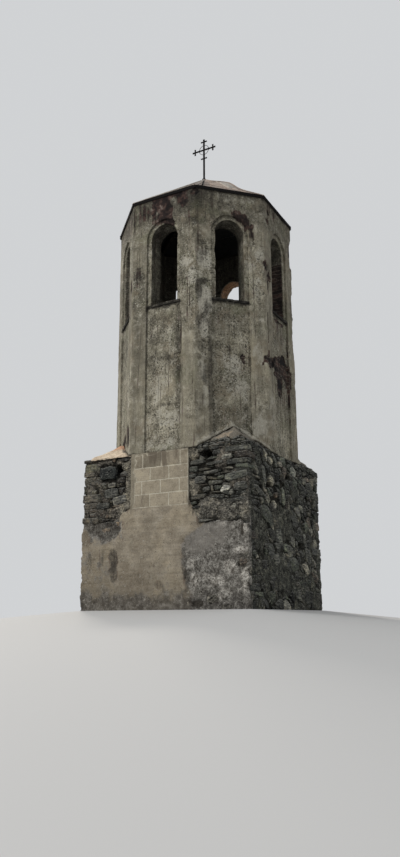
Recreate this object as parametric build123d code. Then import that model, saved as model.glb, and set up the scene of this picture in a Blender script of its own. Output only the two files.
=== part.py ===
from build123d import *
import os
from math import cos, hypot, radians, sin, sqrt, tan

# Octagonal bell tower of a church, in millimetres.
# The origin is on the ground, on the tower's axis. +Z is up, the walled-up doorway faces -Y.

# Square rubble base
BASE_WIDTH = 4000.0
BASE_HEIGHT = 3260.0
BASE_WALL = 980.0
BROACH_HEIGHT = 476.0

# Walled-up doorway in the front of the base
DOORWAY_WIDTH = 1400.0
DOORWAY_SHIFT = -50.0
INFILL_DEPTH = 400.0
LINTEL_HEIGHT = 260.0
LINTEL_BEARING = 180.0

# Cement coat over the foot of the front, from its outer edges up to the block infill
COAT_THICKNESS = 22.0
COAT_SPREAD = 340.0
COAT_NECK = 2100.0
COAT_LEFT_EDGE = 1930.0
COAT_LEFT_DIP = 1410.0
COAT_RIGHT_DIP = 1650.0
COAT_RIGHT_EDGE = 1690.0

# Eight-sided shaft, set back from the base: corner pilasters with a sunk panel on each face between them
SHAFT_SETBACK = 20.0
SHAFT_HEIGHT = 6040.0
SHAFT_WALL = 450.0
PANEL_WIDTH = 880.0
PANEL_SINK = 45.0

# Round-headed openings of the belfry, one in each face
OPENING_WIDTH = 680.0
OPENING_JAMB = 1600.0
WALL_OVER_SPRING = 1050.0
SPRINGER_SEAT = 80.0
SILL_THICKNESS = 45.0
SILL_PROJECTION = 22.0
SILL_CHAMFER = 12.0

# Belfry floor on a ledge of the wall
PARAPET_HEIGHT = 900.0
LEDGE = 80.0
BOARD_THICKNESS = 40.0
JOIST_WIDTH = 120.0
JOIST_DEPTH = 160.0
JOIST_SPACING = 600.0
JOIST_COUNT = 4

# Roof frame
PLATE_WIDTH = 160.0
PLATE_HEIGHT = 100.0
PLATE_INSET = 70.0
RAFTER_WIDTH = 90.0
RAFTER_DEPTH = 150.0
KING_POST_WIDTH = 220.0
KING_POST_LENGTH = 520.0

# Eight-sided pyramid roof of sheet metal
ROOF_RISE = 1488.0
ROOF_SHEET = 6.0
EAVE_BOARD_THICKNESS = 22.0
EAVE_BOARD_DROP = 46.0
DRIP_DEPTH = 34.0
DRIP_THICKNESS = 6.0

# Roof sheet that has lifted along one hip
LIFT_HEIGHT = 110.0
LIFT_START = 170.0
LIFT_PEAK = 950.0
LIFT_END = 1330.0
LIFT_HALF_WIDTH = 420.0

# Forged iron cross
CROSS_HEIGHT = 1200.0
CROSS_SPAN = 690.0
CROSS_ARM_HEIGHT = 890.0
CROSS_BAR = 36.0
CROSS_BAR_THICKNESS = 16.0
CROSSLET_LENGTH = 176.0
CROSSLET_BAR = 26.0
CROSSLET_INSET = 86.0
LOWER_CROSSLET_HEIGHT = 640.0
RING_RADIUS = 134.0
RING_ROD = 12.0
CROSS_SOCKET = 200.0

FROM_END = (Align.CENTER, Align.CENTER, Align.MIN)
FACES = 8
FACE_TURN = 360.0 / FACES
HALF_TURN = radians(FACE_TURN / 2)
FACE_NAMES = ["front", "front_right", "right", "back_right", "back", "back_left", "left", "front_left"]
CORNER_NAMES = ["front_right", "back_right", "back_left", "front_left"]

# Sizes that follow from the ones above
BASE_HALF = BASE_WIDTH / 2
BASE_INNER = BASE_HALF - BASE_WALL
DOORWAY_LEFT = DOORWAY_SHIFT - DOORWAY_WIDTH / 2
DOORWAY_RIGHT = DOORWAY_SHIFT + DOORWAY_WIDTH / 2
SHAFT_OUT = BASE_HALF - SHAFT_SETBACK
SHAFT_IN = SHAFT_OUT - SHAFT_WALL
LEDGE_IN = SHAFT_IN - LEDGE
PANEL_OUT = SHAFT_OUT - PANEL_SINK
SHAFT_TOP = BASE_HEIGHT + SHAFT_HEIGHT
SPRING = SHAFT_TOP - WALL_OVER_SPRING
SILL = SPRING - OPENING_JAMB
FLOOR_TOP = SILL - PARAPET_HEIGHT
LEDGE_TOP = FLOOR_TOP - BOARD_THICKNESS - JOIST_DEPTH
JAMB = OPENING_WIDTH / 2
PANEL_HALF = PANEL_WIDTH / 2
SPRINGER = PANEL_HALF + SPRINGER_SEAT
CORNER = SHAFT_OUT * tan(HALF_TURN)
PLATE_OUT = SHAFT_IN + PLATE_INSET + PLATE_WIDTH
PLATE_TOP = SHAFT_TOP + PLATE_HEIGHT
EAVE_OUT = SHAFT_OUT + EAVE_BOARD_THICKNESS
EAVE = SHAFT_TOP
ROOF_APEX = EAVE + ROOF_RISE
HIP_RUN = EAVE_OUT / cos(HALF_TURN)
HIP_SLOPE = ROOF_RISE / HIP_RUN
SHEET_RISE = ROOF_SHEET * hypot(EAVE_OUT, ROOF_RISE) / EAVE_OUT
KING_POST_HALF = KING_POST_WIDTH / 2
CROSS_FOOT = ROOF_APEX + SHEET_RISE


def octagon(apothem):
    """Regular octagon with a face towards each axis, given from its middle to a face."""
    return RegularPolygon(apothem, FACES, major_radius=False, rotation=FACE_TURN / 2)


def outline(points):
    """Flat face within straight edges through the points."""
    return make_face(Polyline(*points, close=True))


def prism(sketch, bottom, top):
    """Upright prism on a sketch, from one height to another."""
    return Pos(0, 0, bottom) * extrude(sketch, top - bottom)


def block(low, high):
    """Box between two opposite corners."""
    size = [b - a for a, b in zip(low, high)]
    return Pos(*low) * Box(*size, align=(Align.MIN, Align.MIN, Align.MIN))


def on_face(out, along, face=0):
    """Plan point of a face: its distance from the axis, and its distance to the right."""
    turn = radians(FACE_TURN * face)
    return (out * sin(turn) + along * cos(turn), along * sin(turn) - out * cos(turn))


def turned(solid, face):
    """Copy of something made at the front, turned to another face of the octagon."""
    return Rot(0, 0, FACE_TURN * face) * solid


def polyhedron(faces):
    """Solid within flat faces, each given by its corners."""
    return Solid(Shell([Face(Wire.make_polygon(corners, close=True)) for corners in faces]))


def pyramid(apothem, base, apex):
    """Eight-sided pyramid, given by the height of its base and of its apex."""
    radius = apothem / cos(HALF_TURN)
    rim = [(radius * cos(t), radius * sin(t), base) for t in [HALF_TURN * (2 * i + 1) for i in range(FACES)]]
    sides = [[rim[i], rim[(i + 1) % FACES], (0, 0, apex)] for i in range(FACES)]
    return polyhedron(sides + [rim])


def roof_underside():
    """Solid of everything that lies under the roof sheet, above the level of the eave."""
    return pyramid(EAVE_OUT, EAVE, ROOF_APEX)


# Base


def lintel_hole():
    """Space of the lintel in the jambs, behind the infill."""
    low = (DOORWAY_LEFT - LINTEL_BEARING, INFILL_DEPTH - BASE_HALF, BASE_HEIGHT - LINTEL_HEIGHT)
    high = (DOORWAY_RIGHT + LINTEL_BEARING, -BASE_INNER, BASE_HEIGHT)
    return block(low, high)


def base_front_wall(left, right):
    """Part of the front wall beside the doorway."""
    wall = block((left, -BASE_HALF, 0), (right, -BASE_INNER, BASE_HEIGHT))
    return wall - lintel_hole() - front_render_coat()


def doorway_infill():
    """Block wall that closes the doorway, flush with the front."""
    wall = block((DOORWAY_LEFT, -BASE_HALF, 0), (DOORWAY_RIGHT, INFILL_DEPTH - BASE_HALF, BASE_HEIGHT))
    return wall - front_render_coat()


def base_back_wall():
    """Back wall with both back corners."""
    return block((-BASE_HALF, BASE_INNER, 0), (BASE_HALF, BASE_HALF, BASE_HEIGHT))


def base_side_wall(side):
    """Wall between the front and the back wall, on the right (1) or on the left (-1)."""
    near = min(side * BASE_INNER, side * BASE_HALF)
    return block((near, -BASE_INNER, 0), (near + BASE_WALL, BASE_INNER, BASE_HEIGHT))


def front_render_coat():
    """Cement coat that spreads from the infill to both sides and down to the ground."""
    left_dip = (DOORWAY_LEFT - COAT_SPREAD, COAT_LEFT_DIP)
    right_dip = (DOORWAY_RIGHT + COAT_SPREAD, COAT_RIGHT_DIP)
    left_neck = (DOORWAY_LEFT, COAT_NECK)
    right_neck = (DOORWAY_RIGHT, COAT_NECK)
    left_edge = (-BASE_HALF, COAT_LEFT_EDGE)
    right_edge = (BASE_HALF, COAT_RIGHT_EDGE)
    edges = [
        Line((-BASE_HALF, 0), left_edge),
        Spline(left_edge, left_dip, tangents=((1.0, -0.9), (1.0, -0.2))),
        Spline(left_dip, left_neck, tangents=((0.4, 1.0), (0.9, 1.0))),
        Line(left_neck, right_neck),
        Spline(right_neck, right_dip, tangents=((0.4, -1.0), (1.0, -0.5))),
        Line(right_dip, right_edge),
        Line(right_edge, (BASE_HALF, 0)),
        Line((BASE_HALF, 0), (-BASE_HALF, 0)),
    ]
    face = Plane.XZ * make_face(edges)
    return Pos(0, COAT_THICKNESS - BASE_HALF, 0) * extrude(face, COAT_THICKNESS)


def broach():
    """Sloped cap from a corner of the base up to the middle of a diagonal face."""
    ridge_end = SHAFT_OUT / sqrt(2)
    slope = BROACH_HEIGHT / (BASE_HALF - ridge_end)
    back = BASE_HALF - CORNER
    region = outline([
        (BASE_HALF, -BASE_HALF),
        (BASE_HALF, -CORNER),
        on_face(SHAFT_OUT, CORNER, 1),
        on_face(SHAFT_OUT, PANEL_HALF, 1),
        on_face(PANEL_OUT, PANEL_HALF, 1),
        on_face(PANEL_OUT, -PANEL_HALF, 1),
        on_face(SHAFT_OUT, -PANEL_HALF, 1),
        on_face(SHAFT_OUT, -CORNER, 1),
        (CORNER, -BASE_HALF),
    ])
    profile = make_face(Polyline((-BASE_HALF, 0), (-BASE_HALF + back, 0), (-BASE_HALF + back, back * slope), close=True))
    front_slope = extrude(Plane.YZ * profile, BASE_HALF)
    right_slope = Rot(0, 0, 90) * mirror(front_slope, Plane.YZ)
    return Pos(0, 0, BASE_HEIGHT) * (prism(region, 0, back * slope) & front_slope & right_slope)


# Shaft


def pier_section(inner, jamb, steps):
    """Plan of a corner pier, from the jamb of one face round the corner to the next."""
    near = [(inner, jamb)] + steps
    first = [on_face(out, along) for out, along in near]
    second = [on_face(out, -along, 1) for out, along in reversed(near)]
    return outline(first + [on_face(SHAFT_OUT, CORNER)] + second + [on_face(inner, inner * tan(HALF_TURN))])


def corner_pier():
    """Pier with a pilaster at the corner between the front and the front right face."""
    rebate = [(PANEL_OUT, JAMB), (PANEL_OUT, PANEL_HALF), (SHAFT_OUT, PANEL_HALF)]
    foot = prism(pier_section(LEDGE_IN, JAMB, rebate), BASE_HEIGHT, LEDGE_TOP)
    jambs = prism(pier_section(SHAFT_IN, JAMB, rebate), LEDGE_TOP, SPRING)
    head = prism(pier_section(SHAFT_IN, SPRINGER, [(SHAFT_OUT, SPRINGER)]), SPRING, SHAFT_TOP)
    return foot + jambs + head


def panel_wall():
    """Sunk wall of the front face under the opening, with the ledge of the floor."""
    foot = block((-JAMB, -PANEL_OUT, BASE_HEIGHT), (JAMB, -LEDGE_IN, LEDGE_TOP))
    parapet = block((-JAMB, -PANEL_OUT, LEDGE_TOP), (JAMB, -SHAFT_IN, SILL - SILL_THICKNESS))
    return foot + parapet


def arch_head():
    """Wall over the front opening, with the arch and the round head of the panel."""
    wall = block((-SPRINGER, -SHAFT_OUT, SPRING), (SPRINGER, -SHAFT_IN, SHAFT_TOP))
    through = Pos(0, -SHAFT_IN, SPRING) * Rot(90, 0, 0) * Cylinder(JAMB, SHAFT_WALL, align=FROM_END)
    sunk = Pos(0, -PANEL_OUT, SPRING) * Rot(90, 0, 0) * Cylinder(PANEL_HALF, PANEL_SINK, align=FROM_END)
    return wall - through - sunk


def window_sill():
    """Sill slab of the front opening, with a lip across the panel."""
    bottom = SILL - SILL_THICKNESS
    slab = block((-JAMB, -PANEL_OUT, bottom), (JAMB, -SHAFT_IN, SILL))
    lip = block((-PANEL_HALF, -PANEL_OUT - SILL_PROJECTION, bottom), (PANEL_HALF, -PANEL_OUT, SILL))
    edge = lip.edges().filter_by(Axis.X).group_by(Axis.Z)[-1].sort_by(Axis.Y)[0]
    return slab + chamfer(edge, SILL_CHAMFER)


# Belfry floor


def belfry_joists():
    """Joists from ledge to ledge, cut to the octagon."""
    first = -JOIST_SPACING * (JOIST_COUNT - 1) / 2
    room = prism(octagon(SHAFT_IN), LEDGE_TOP, LEDGE_TOP + JOIST_DEPTH)
    joists = []
    for i in range(JOIST_COUNT):
        middle = first + i * JOIST_SPACING
        low = (middle - JOIST_WIDTH / 2, -SHAFT_IN, LEDGE_TOP)
        high = (middle + JOIST_WIDTH / 2, SHAFT_IN, LEDGE_TOP + JOIST_DEPTH)
        joists += (block(low, high) & room).solids()
    return Compound(joists)


def belfry_floor():
    """Boarded floor of the belfry."""
    return prism(octagon(SHAFT_IN), FLOOR_TOP - BOARD_THICKNESS, FLOOR_TOP)


# Roof


def wall_plate():
    """Timber ring on the wall head."""
    return prism(octagon(PLATE_OUT) - octagon(PLATE_OUT - PLATE_WIDTH), SHAFT_TOP, PLATE_TOP)


def king_post():
    """Post under the apex, with a socket for the foot of the cross."""
    post = Rot(0, 0, FACE_TURN / 2) * octagon(KING_POST_HALF)
    solid = prism(post, ROOF_APEX - KING_POST_LENGTH, ROOF_APEX) & roof_underside()
    return solid - cross_foot()


def hip_rafter():
    """Rafter under the hip on the right of the front face, from the plate to the king post."""
    plate_corner = PLATE_OUT / cos(HALF_TURN)
    hip_at_post = ROOF_APEX - KING_POST_HALF * HIP_SLOPE
    seat_end = (ROOF_APEX - RAFTER_DEPTH - PLATE_TOP) / HIP_SLOPE
    profile = make_face(Polyline(
        (plate_corner, PLATE_TOP),
        (plate_corner, ROOF_APEX),
        (KING_POST_HALF, ROOF_APEX),
        (KING_POST_HALF, hip_at_post - RAFTER_DEPTH),
        (seat_end, PLATE_TOP),
        close=True,
    ))
    bar = extrude(Plane.XZ * profile, RAFTER_WIDTH / 2, both=True)
    return (Rot(0, 0, FACE_TURN / 2 - 90) * bar) & roof_underside()


def eave_board():
    """Board round the wall head, planed to the slope of the roof."""
    ring = octagon(EAVE_OUT) - octagon(SHAFT_OUT)
    below = prism(ring, EAVE - EAVE_BOARD_DROP, EAVE)
    above = prism(ring, EAVE, ROOF_APEX) & roof_underside()
    return below + above


def roof_covering():
    """Sheet roof with its edge turned down over the eave board."""
    edge = EAVE_OUT + DRIP_THICKNESS
    skirt = prism(octagon(edge) - octagon(EAVE_OUT), EAVE - DRIP_DEPTH, EAVE + SHEET_RISE)
    shell = prism(octagon(EAVE_OUT), EAVE, EAVE + SHEET_RISE) + Pos(0, 0, SHEET_RISE) * roof_underside()
    return skirt + (shell - roof_underside()) - cross_foot()


def lifted_roof_sheet():
    """Bent sheet that stands off the hip between the front right and the right face."""
    hip = [radius_point(r, 0) for r in (LIFT_START, LIFT_END)]
    peak = radius_point(LIFT_PEAK, 0, LIFT_HEIGHT)
    sides = [radius_point(LIFT_PEAK, side * LIFT_HALF_WIDTH) for side in (-1, 1)]
    tent = polyhedron([
        [hip[0], sides[0], peak],
        [sides[0], hip[1], peak],
        [hip[1], sides[1], peak],
        [sides[1], hip[0], peak],
        [hip[0], hip[1], sides[0]],
        [hip[1], hip[0], sides[1]],
    ])
    hollow = Pos(0, 0, -SHEET_RISE) * tent
    return Rot(0, 0, FACE_TURN * 1.5 - 90) * (tent - hollow)


def radius_point(out, aside, rise=0.0):
    """Point on the roof near a hip that runs along +X, with a rise above the sheet."""
    fall = (out * cos(HALF_TURN) + abs(aside) * sin(HALF_TURN)) * ROOF_RISE / EAVE_OUT
    return (out, aside, CROSS_FOOT - fall + rise)


# Cross


def cross_foot():
    """Foot of the cross, from its socket in the king post up to the roof sheet."""
    half = CROSS_BAR / 2
    deep = CROSS_BAR_THICKNESS / 2
    return block((-half, -deep, ROOF_APEX - CROSS_SOCKET), (half, deep, CROSS_FOOT))


def bar(middle, length, width, upright):
    """Flat bar of the cross, across or upright, about its middle."""
    size = (width, CROSS_BAR_THICKNESS, length) if upright else (length, CROSS_BAR_THICKNESS, width)
    return Pos(*middle) * Box(*size)


def iron_cross():
    """Cross of flat bars with a crosslet at each end and a rod ring round the crossing."""
    top = ROOF_APEX + CROSS_HEIGHT
    arms = ROOF_APEX + CROSS_ARM_HEIGHT
    shaft_foot = ROOF_APEX - CROSS_SOCKET
    end = CROSS_SPAN / 2
    cross = bar((0, 0, (shaft_foot + top) / 2), top - shaft_foot, CROSS_BAR, True)
    cross += bar((0, 0, arms), CROSS_SPAN, CROSSLET_BAR, False)
    for height in (top - CROSSLET_INSET / 2 - CROSSLET_BAR, ROOF_APEX + LOWER_CROSSLET_HEIGHT):
        cross += bar((0, 0, height), CROSSLET_LENGTH, CROSSLET_BAR, False)
    for side in (-1, 1):
        cross += bar((side * (end - CROSSLET_INSET), 0, arms), CROSSLET_LENGTH, CROSSLET_BAR, True)
    ring = Pos(0, 0, arms) * Rot(90, 0, 0) * Torus(RING_RADIUS, RING_ROD / 2)
    return cross + ring


def parts():
    """Every named piece of the tower."""
    pieces = {
        "base_front_wall_left": base_front_wall(-BASE_HALF, DOORWAY_LEFT),
        "base_front_wall_right": base_front_wall(DOORWAY_RIGHT, BASE_HALF),
        "doorway_infill": doorway_infill(),
        "door_lintel": lintel_hole(),
        "base_right_wall": base_side_wall(1),
        "base_back_wall": base_back_wall(),
        "base_left_wall": base_side_wall(-1),
        "front_render_coat": front_render_coat(),
    }
    corner = broach()
    for i, name in enumerate(CORNER_NAMES):
        pieces[f"broach_{name}"] = turned(corner, 2 * i)
    pier = corner_pier()
    panel = panel_wall()
    head = arch_head()
    for i, name in enumerate(FACE_NAMES):
        pieces[f"corner_pier_{i + 1}"] = turned(pier, i)
        pieces[f"panel_wall_{name}"] = turned(panel, i)
        pieces[f"arch_head_{name}"] = turned(head, i)
    sill = window_sill()
    pieces["window_sills"] = Compound([turned(sill, i).solid() for i in range(FACES)])
    pieces["belfry_joists"] = belfry_joists()
    pieces["belfry_floor"] = belfry_floor()
    pieces["wall_plate"] = wall_plate()
    rafter = hip_rafter()
    pieces["hip_rafters"] = Compound([turned(rafter, i).solid() for i in range(FACES)])
    pieces["king_post"] = king_post()
    pieces["eave_board"] = eave_board()
    pieces["roof_covering"] = roof_covering()
    pieces["lifted_roof_sheet"] = lifted_roof_sheet()
    pieces["iron_cross"] = iron_cross()
    return pieces


os.makedirs("parts", exist_ok=True)
for node, shape in parts().items():
    export_step(shape, f"parts/{node}.step")
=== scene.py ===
import math
import bmesh
import bpy
import numpy as np
from mathutils import Matrix, Vector


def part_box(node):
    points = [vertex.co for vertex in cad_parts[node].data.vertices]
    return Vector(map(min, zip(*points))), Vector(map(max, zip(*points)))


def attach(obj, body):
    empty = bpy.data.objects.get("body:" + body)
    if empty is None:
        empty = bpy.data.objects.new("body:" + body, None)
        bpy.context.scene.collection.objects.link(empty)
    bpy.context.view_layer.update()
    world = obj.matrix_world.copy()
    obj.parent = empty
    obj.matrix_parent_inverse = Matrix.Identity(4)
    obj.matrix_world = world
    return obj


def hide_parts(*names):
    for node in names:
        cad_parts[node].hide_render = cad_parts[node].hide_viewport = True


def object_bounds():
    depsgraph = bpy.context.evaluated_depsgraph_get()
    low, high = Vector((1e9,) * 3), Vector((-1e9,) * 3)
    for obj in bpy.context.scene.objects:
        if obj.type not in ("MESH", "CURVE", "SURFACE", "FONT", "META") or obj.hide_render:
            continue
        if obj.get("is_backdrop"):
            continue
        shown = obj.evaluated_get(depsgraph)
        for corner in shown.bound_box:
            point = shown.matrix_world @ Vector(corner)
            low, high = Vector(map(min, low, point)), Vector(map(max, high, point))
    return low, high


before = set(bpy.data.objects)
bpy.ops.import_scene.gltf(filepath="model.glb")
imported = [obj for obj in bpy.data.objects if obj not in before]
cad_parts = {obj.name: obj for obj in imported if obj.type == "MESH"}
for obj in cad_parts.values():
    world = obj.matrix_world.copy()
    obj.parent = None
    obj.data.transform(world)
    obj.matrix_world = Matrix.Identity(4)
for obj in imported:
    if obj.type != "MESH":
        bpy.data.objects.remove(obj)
CAD_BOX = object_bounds()

# Sizes in metres, as in the part's source. Faces are numbered from the front, counter-clockwise from above.
BASE, BASE_TOP, BASE_INNER = 2.0, 3.26, 1.02
DOOR_LEFT, DOOR_RIGHT, INFILL_BACK = -0.75, 0.65, -1.6
BROACH_RISE, SMOOTH_BROACH = 0.476, 0.84
SHAFT, PANEL, SHAFT_IN, LEDGE_IN = 1.98, 1.935, 1.53, 1.45
SHAFT_TOP, LEDGE_TOP, SILL_LOW, SILL, SPRING = 9.3, 5.55, 6.605, 6.65, 8.25
JAMB, PANEL_HALF, SEAT = 0.34, 0.44, 0.52
EAVE_OUT, ROOF_APEX, ROOF_OVER = 2.002, 10.788, 0.0075
SLOPE = (ROOF_APEX - SHAFT_TOP) / EAVE_OUT
TURN = math.radians(45)
HALF = TURN / 2
TAN = math.tan(HALF)
CORNER = SHAFT * TAN
BROACH = BASE - SHAFT / math.sqrt(2)
BASE_TURNS = [k * 2 * TURN for k in range(4)]
FACE_NAMES = ["front", "front_right", "right", "back_right", "back", "back_left", "left", "front_left"]
CORNER_NAMES = ["front_right", "back_right", "back_left", "front_left"]


# Noise


def lattice(x, y, z, seed):
    """Pseudo-random value from 0 to 1 for each whole-number point."""
    x, y, z = (k.astype(np.int64).astype(np.uint64) for k in (x, y, z))
    h = x * np.uint64(374761393) + y * np.uint64(668265263) + z * np.uint64(2246822519)
    h = (h + np.uint64(seed * 3266489917 % (1 << 32))) & np.uint64(0xFFFFFFFF)
    for shift, factor in ((15, 2246822519), (13, 3266489917)):
        h = ((h ^ (h >> np.uint64(shift))) * np.uint64(factor)) & np.uint64(0xFFFFFFFF)
    return ((h ^ (h >> np.uint64(16))) & np.uint64(0xFFFFFF)).astype(float) / 0xFFFFFF


def noise(p, size, seed=0, octaves=3):
    """Smooth noise, from about -1 to 1, with lumps of the given size."""
    q = np.asarray(p, float) / size
    total, gain, norm = 0.0, 1.0, 0.0
    for k in range(octaves):
        cell = np.floor(q)
        f = q - cell
        f = f * f * (3 - 2 * f)
        value = 0.0
        for d in np.ndindex(2, 2, 2):
            w = np.abs(1 - d[0] - f[..., 0]) * np.abs(1 - d[1] - f[..., 1]) * np.abs(1 - d[2] - f[..., 2])
            value = value + w * lattice(*(cell[..., i] + d[i] for i in range(3)), seed + k)
        total = total + gain * (2 * value - 1)
        norm += gain
        gain *= 0.5
        q = q * 2.07 + 17.3
    return total / norm * 1.5


def step(x, low, high):
    """Smooth step from 0 to 1 between two values."""
    t = np.clip((np.asarray(x, float) - low) / (high - low), 0, 1)
    return t * t * (3 - 2 * t)


def fall(x, low, high):
    """Smooth step from 1 to 0 between two values."""
    return 1 - step(x, low, high)


# Mesh making


class Piece:
    """Points and faces of one piece of the tower, gathered before its mesh is made."""

    def __init__(self):
        self.points, self.faces, self.kinds, self.tints, self.marks, self.walls = [], [], [], [], [], []
        self.count = 0

    def add(self, points, faces, kind=0, tint=(0.5, 0.5, 0.5), marks=(0, 0, 0, 0)):
        """Adds points, with their colour and marks, and faces on them. Returns the number of the first."""
        points, tint = np.asarray(points, float).reshape(-1, 3), np.asarray(tint, float)
        start, count = self.count, len(points)
        tint = np.broadcast_to(tint, (count, tint.shape[-1]))
        self.points.append(points)
        self.tints.append(np.concatenate([tint, np.ones((count, 4 - tint.shape[1]))], 1))
        self.marks.append(np.broadcast_to(np.asarray(marks, float), (count, 4)))
        self.faces += [[start + int(i) for i in face] for face in faces]
        self.kinds += [kind] * len(faces)
        self.count += count
        return start

    def close(self, face, kind=0):
        """Adds a face on points that are there already."""
        self.faces.append([int(i) for i in face])
        self.kinds.append(kind)

    def skirt(self, top, low):
        """Joins two rings of as many points."""
        for k in range(len(top)):
            n = (k + 1) % len(top)
            self.close([top[k], top[n], low[n], low[k]])

    def make(self, name, materials, slot, stands_for=()):
        """Makes the mesh and its object, puts it under the root body and hides the CAD parts it stands for.
        """
        mesh = bpy.data.meshes.new(name)
        mesh.from_pydata(np.concatenate(self.points).tolist(), [], self.faces)
        mesh.update()
        for key, rows in (("tint", self.tints), ("marks", self.marks)):
            values = np.concatenate(rows).astype(np.float32).ravel()
            mesh.color_attributes.new(key, "FLOAT_COLOR", "POINT").data.foreach_set("color", values)
        mesh.polygons.foreach_set("material_index", np.array(self.kinds, np.int32))
        outward(mesh)
        mesh.set_sharp_from_angle(angle=math.radians(38))
        if self.walls:
            wall = mesh.attributes.new("wall", "FLOAT_VECTOR", "POINT")
            wall.data.foreach_set("vector", np.concatenate(self.walls).astype(np.float32).ravel())
        piece = shown(name, mesh)
        for material in materials:
            mesh.materials.append(material)
        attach(piece, "root")
        if stands_for:
            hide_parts(*stands_for)


def outward(mesh, weld=False):
    """Turns all faces of a smooth mesh outwards."""
    mesh.polygons.foreach_set("use_smooth", np.ones(len(mesh.polygons), bool))
    bm = bmesh.new()
    bm.from_mesh(mesh)
    if weld:
        bmesh.ops.remove_doubles(bm, verts=bm.verts, dist=1e-6)
    bmesh.ops.recalc_face_normals(bm, faces=bm.faces)
    bm.to_mesh(mesh)
    bm.free()


def shown(name, data):
    """New object in the scene."""
    made = bpy.data.objects.new(name, data)
    bpy.context.scene.collection.objects.link(made)
    return made


def quads(rows, cols, wrap=False, loop=False):
    """Faces of a grid of points kept row by row; wrap joins its columns round, and loop its rows."""
    r, c = np.ogrid[:rows if loop else rows - 1, :cols if wrap else cols - 1]
    low, high, n = r * cols, (r + 1) % rows * cols, (c + 1) % cols
    return np.stack([low + c, low + n, high + n, high + c], -1).reshape(-1, 4).tolist()


def tube(rows, cols):
    """Faces of a closed tube made of rings of points."""
    last = (rows - 1) * cols
    return quads(rows, cols, True) + [list(range(cols))[::-1], list(range(last, last + cols))]


def rim_of(rows, cols):
    """Row and column of each point round the edge of a grid."""
    rim = [(0, c) for c in range(cols)] + [(r, cols - 1) for r in range(1, rows)]
    return rim + [(rows - 1, c) for c in range(cols - 2, -1, -1)] + [(r, 0) for r in range(rows - 2, 0, -1)]


def box_surface(xs, ys, zs):
    """Points and faces of a box's surface, from the lines that divide it along each axis."""
    skin = np.ones((len(xs), len(ys), len(zs)), bool)
    skin[1:-1, 1:-1, 1:-1] = False
    ids = np.full(skin.shape, -1)
    ids[skin] = np.arange(skin.sum())
    faces = []
    for axis in range(3):
        for end in (0, -1):
            layer = np.take(ids, end, axis)
            corners = (layer[:-1, :-1], layer[1:, :-1], layer[1:, 1:], layer[:-1, 1:])
            faces += np.stack(corners, -1).reshape(-1, 4).tolist()
    return np.stack(np.meshgrid(xs, ys, zs, indexing="ij"), -1)[skin], faces


def division(half, radius, pitch):
    """Lines that divide a rounded box along one axis: close at the edges, wider between."""
    radius = min(radius, half * 0.9)
    flat = half - radius
    middle = np.linspace(-flat, flat, max(1, int(round(2 * flat / pitch))) + 1)
    return np.concatenate([[-half, -flat - radius * 0.45], middle, [flat + radius * 0.45, half]])


def rounded_box(half, radius, pitch):
    """Points and faces of a box with rounded edges, about its middle."""
    half = np.asarray(half, float)
    p, faces = box_surface(*[division(h, radius, pitch) for h in half])
    r = np.minimum(radius, half * 0.9)
    core = np.clip(p, r - half, half - r)
    off = (p - core) / r
    length = np.maximum(np.linalg.norm(off, axis=1), 1e-9)[:, None]
    biggest = np.abs(off).max(1)[:, None]
    return core + off / length * biggest * r, faces


def turned(p, turn):
    """Points turned about the upright axis."""
    p = np.asarray(p, float)
    c, s = math.cos(turn), math.sin(turn)
    return np.stack([p[..., 0] * c - p[..., 1] * s, p[..., 0] * s + p[..., 1] * c, p[..., 2]], -1)


def on_face(face, u, out, z):
    """Point of an octagon face: distance to the right, distance from the axis, height."""
    u, out, z = np.broadcast_arrays(*(np.asarray(k, float) for k in (u, out, z)))
    return turned(np.stack([u, -out, z], -1), face * TURN)


# Materials


class Value:
    """Output of a node. Arithmetic with it adds math nodes."""

    def __init__(self, shade, socket):
        self.shade, self.socket = shade, socket

    def __add__(self, other):
        return self.shade.node("Math", {0: self, 1: other}, operation="ADD")

    def __sub__(self, other):
        return self.shade.node("Math", {0: self, 1: other}, operation="SUBTRACT")

    def __mul__(self, other):
        return self.shade.node("Math", {0: self, 1: other}, operation="MULTIPLY")

    __radd__, __rmul__ = __add__, __mul__

    def other(self, key):
        """Another output of the same node."""
        return Value(self.shade, self.socket.node.outputs[key])


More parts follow.
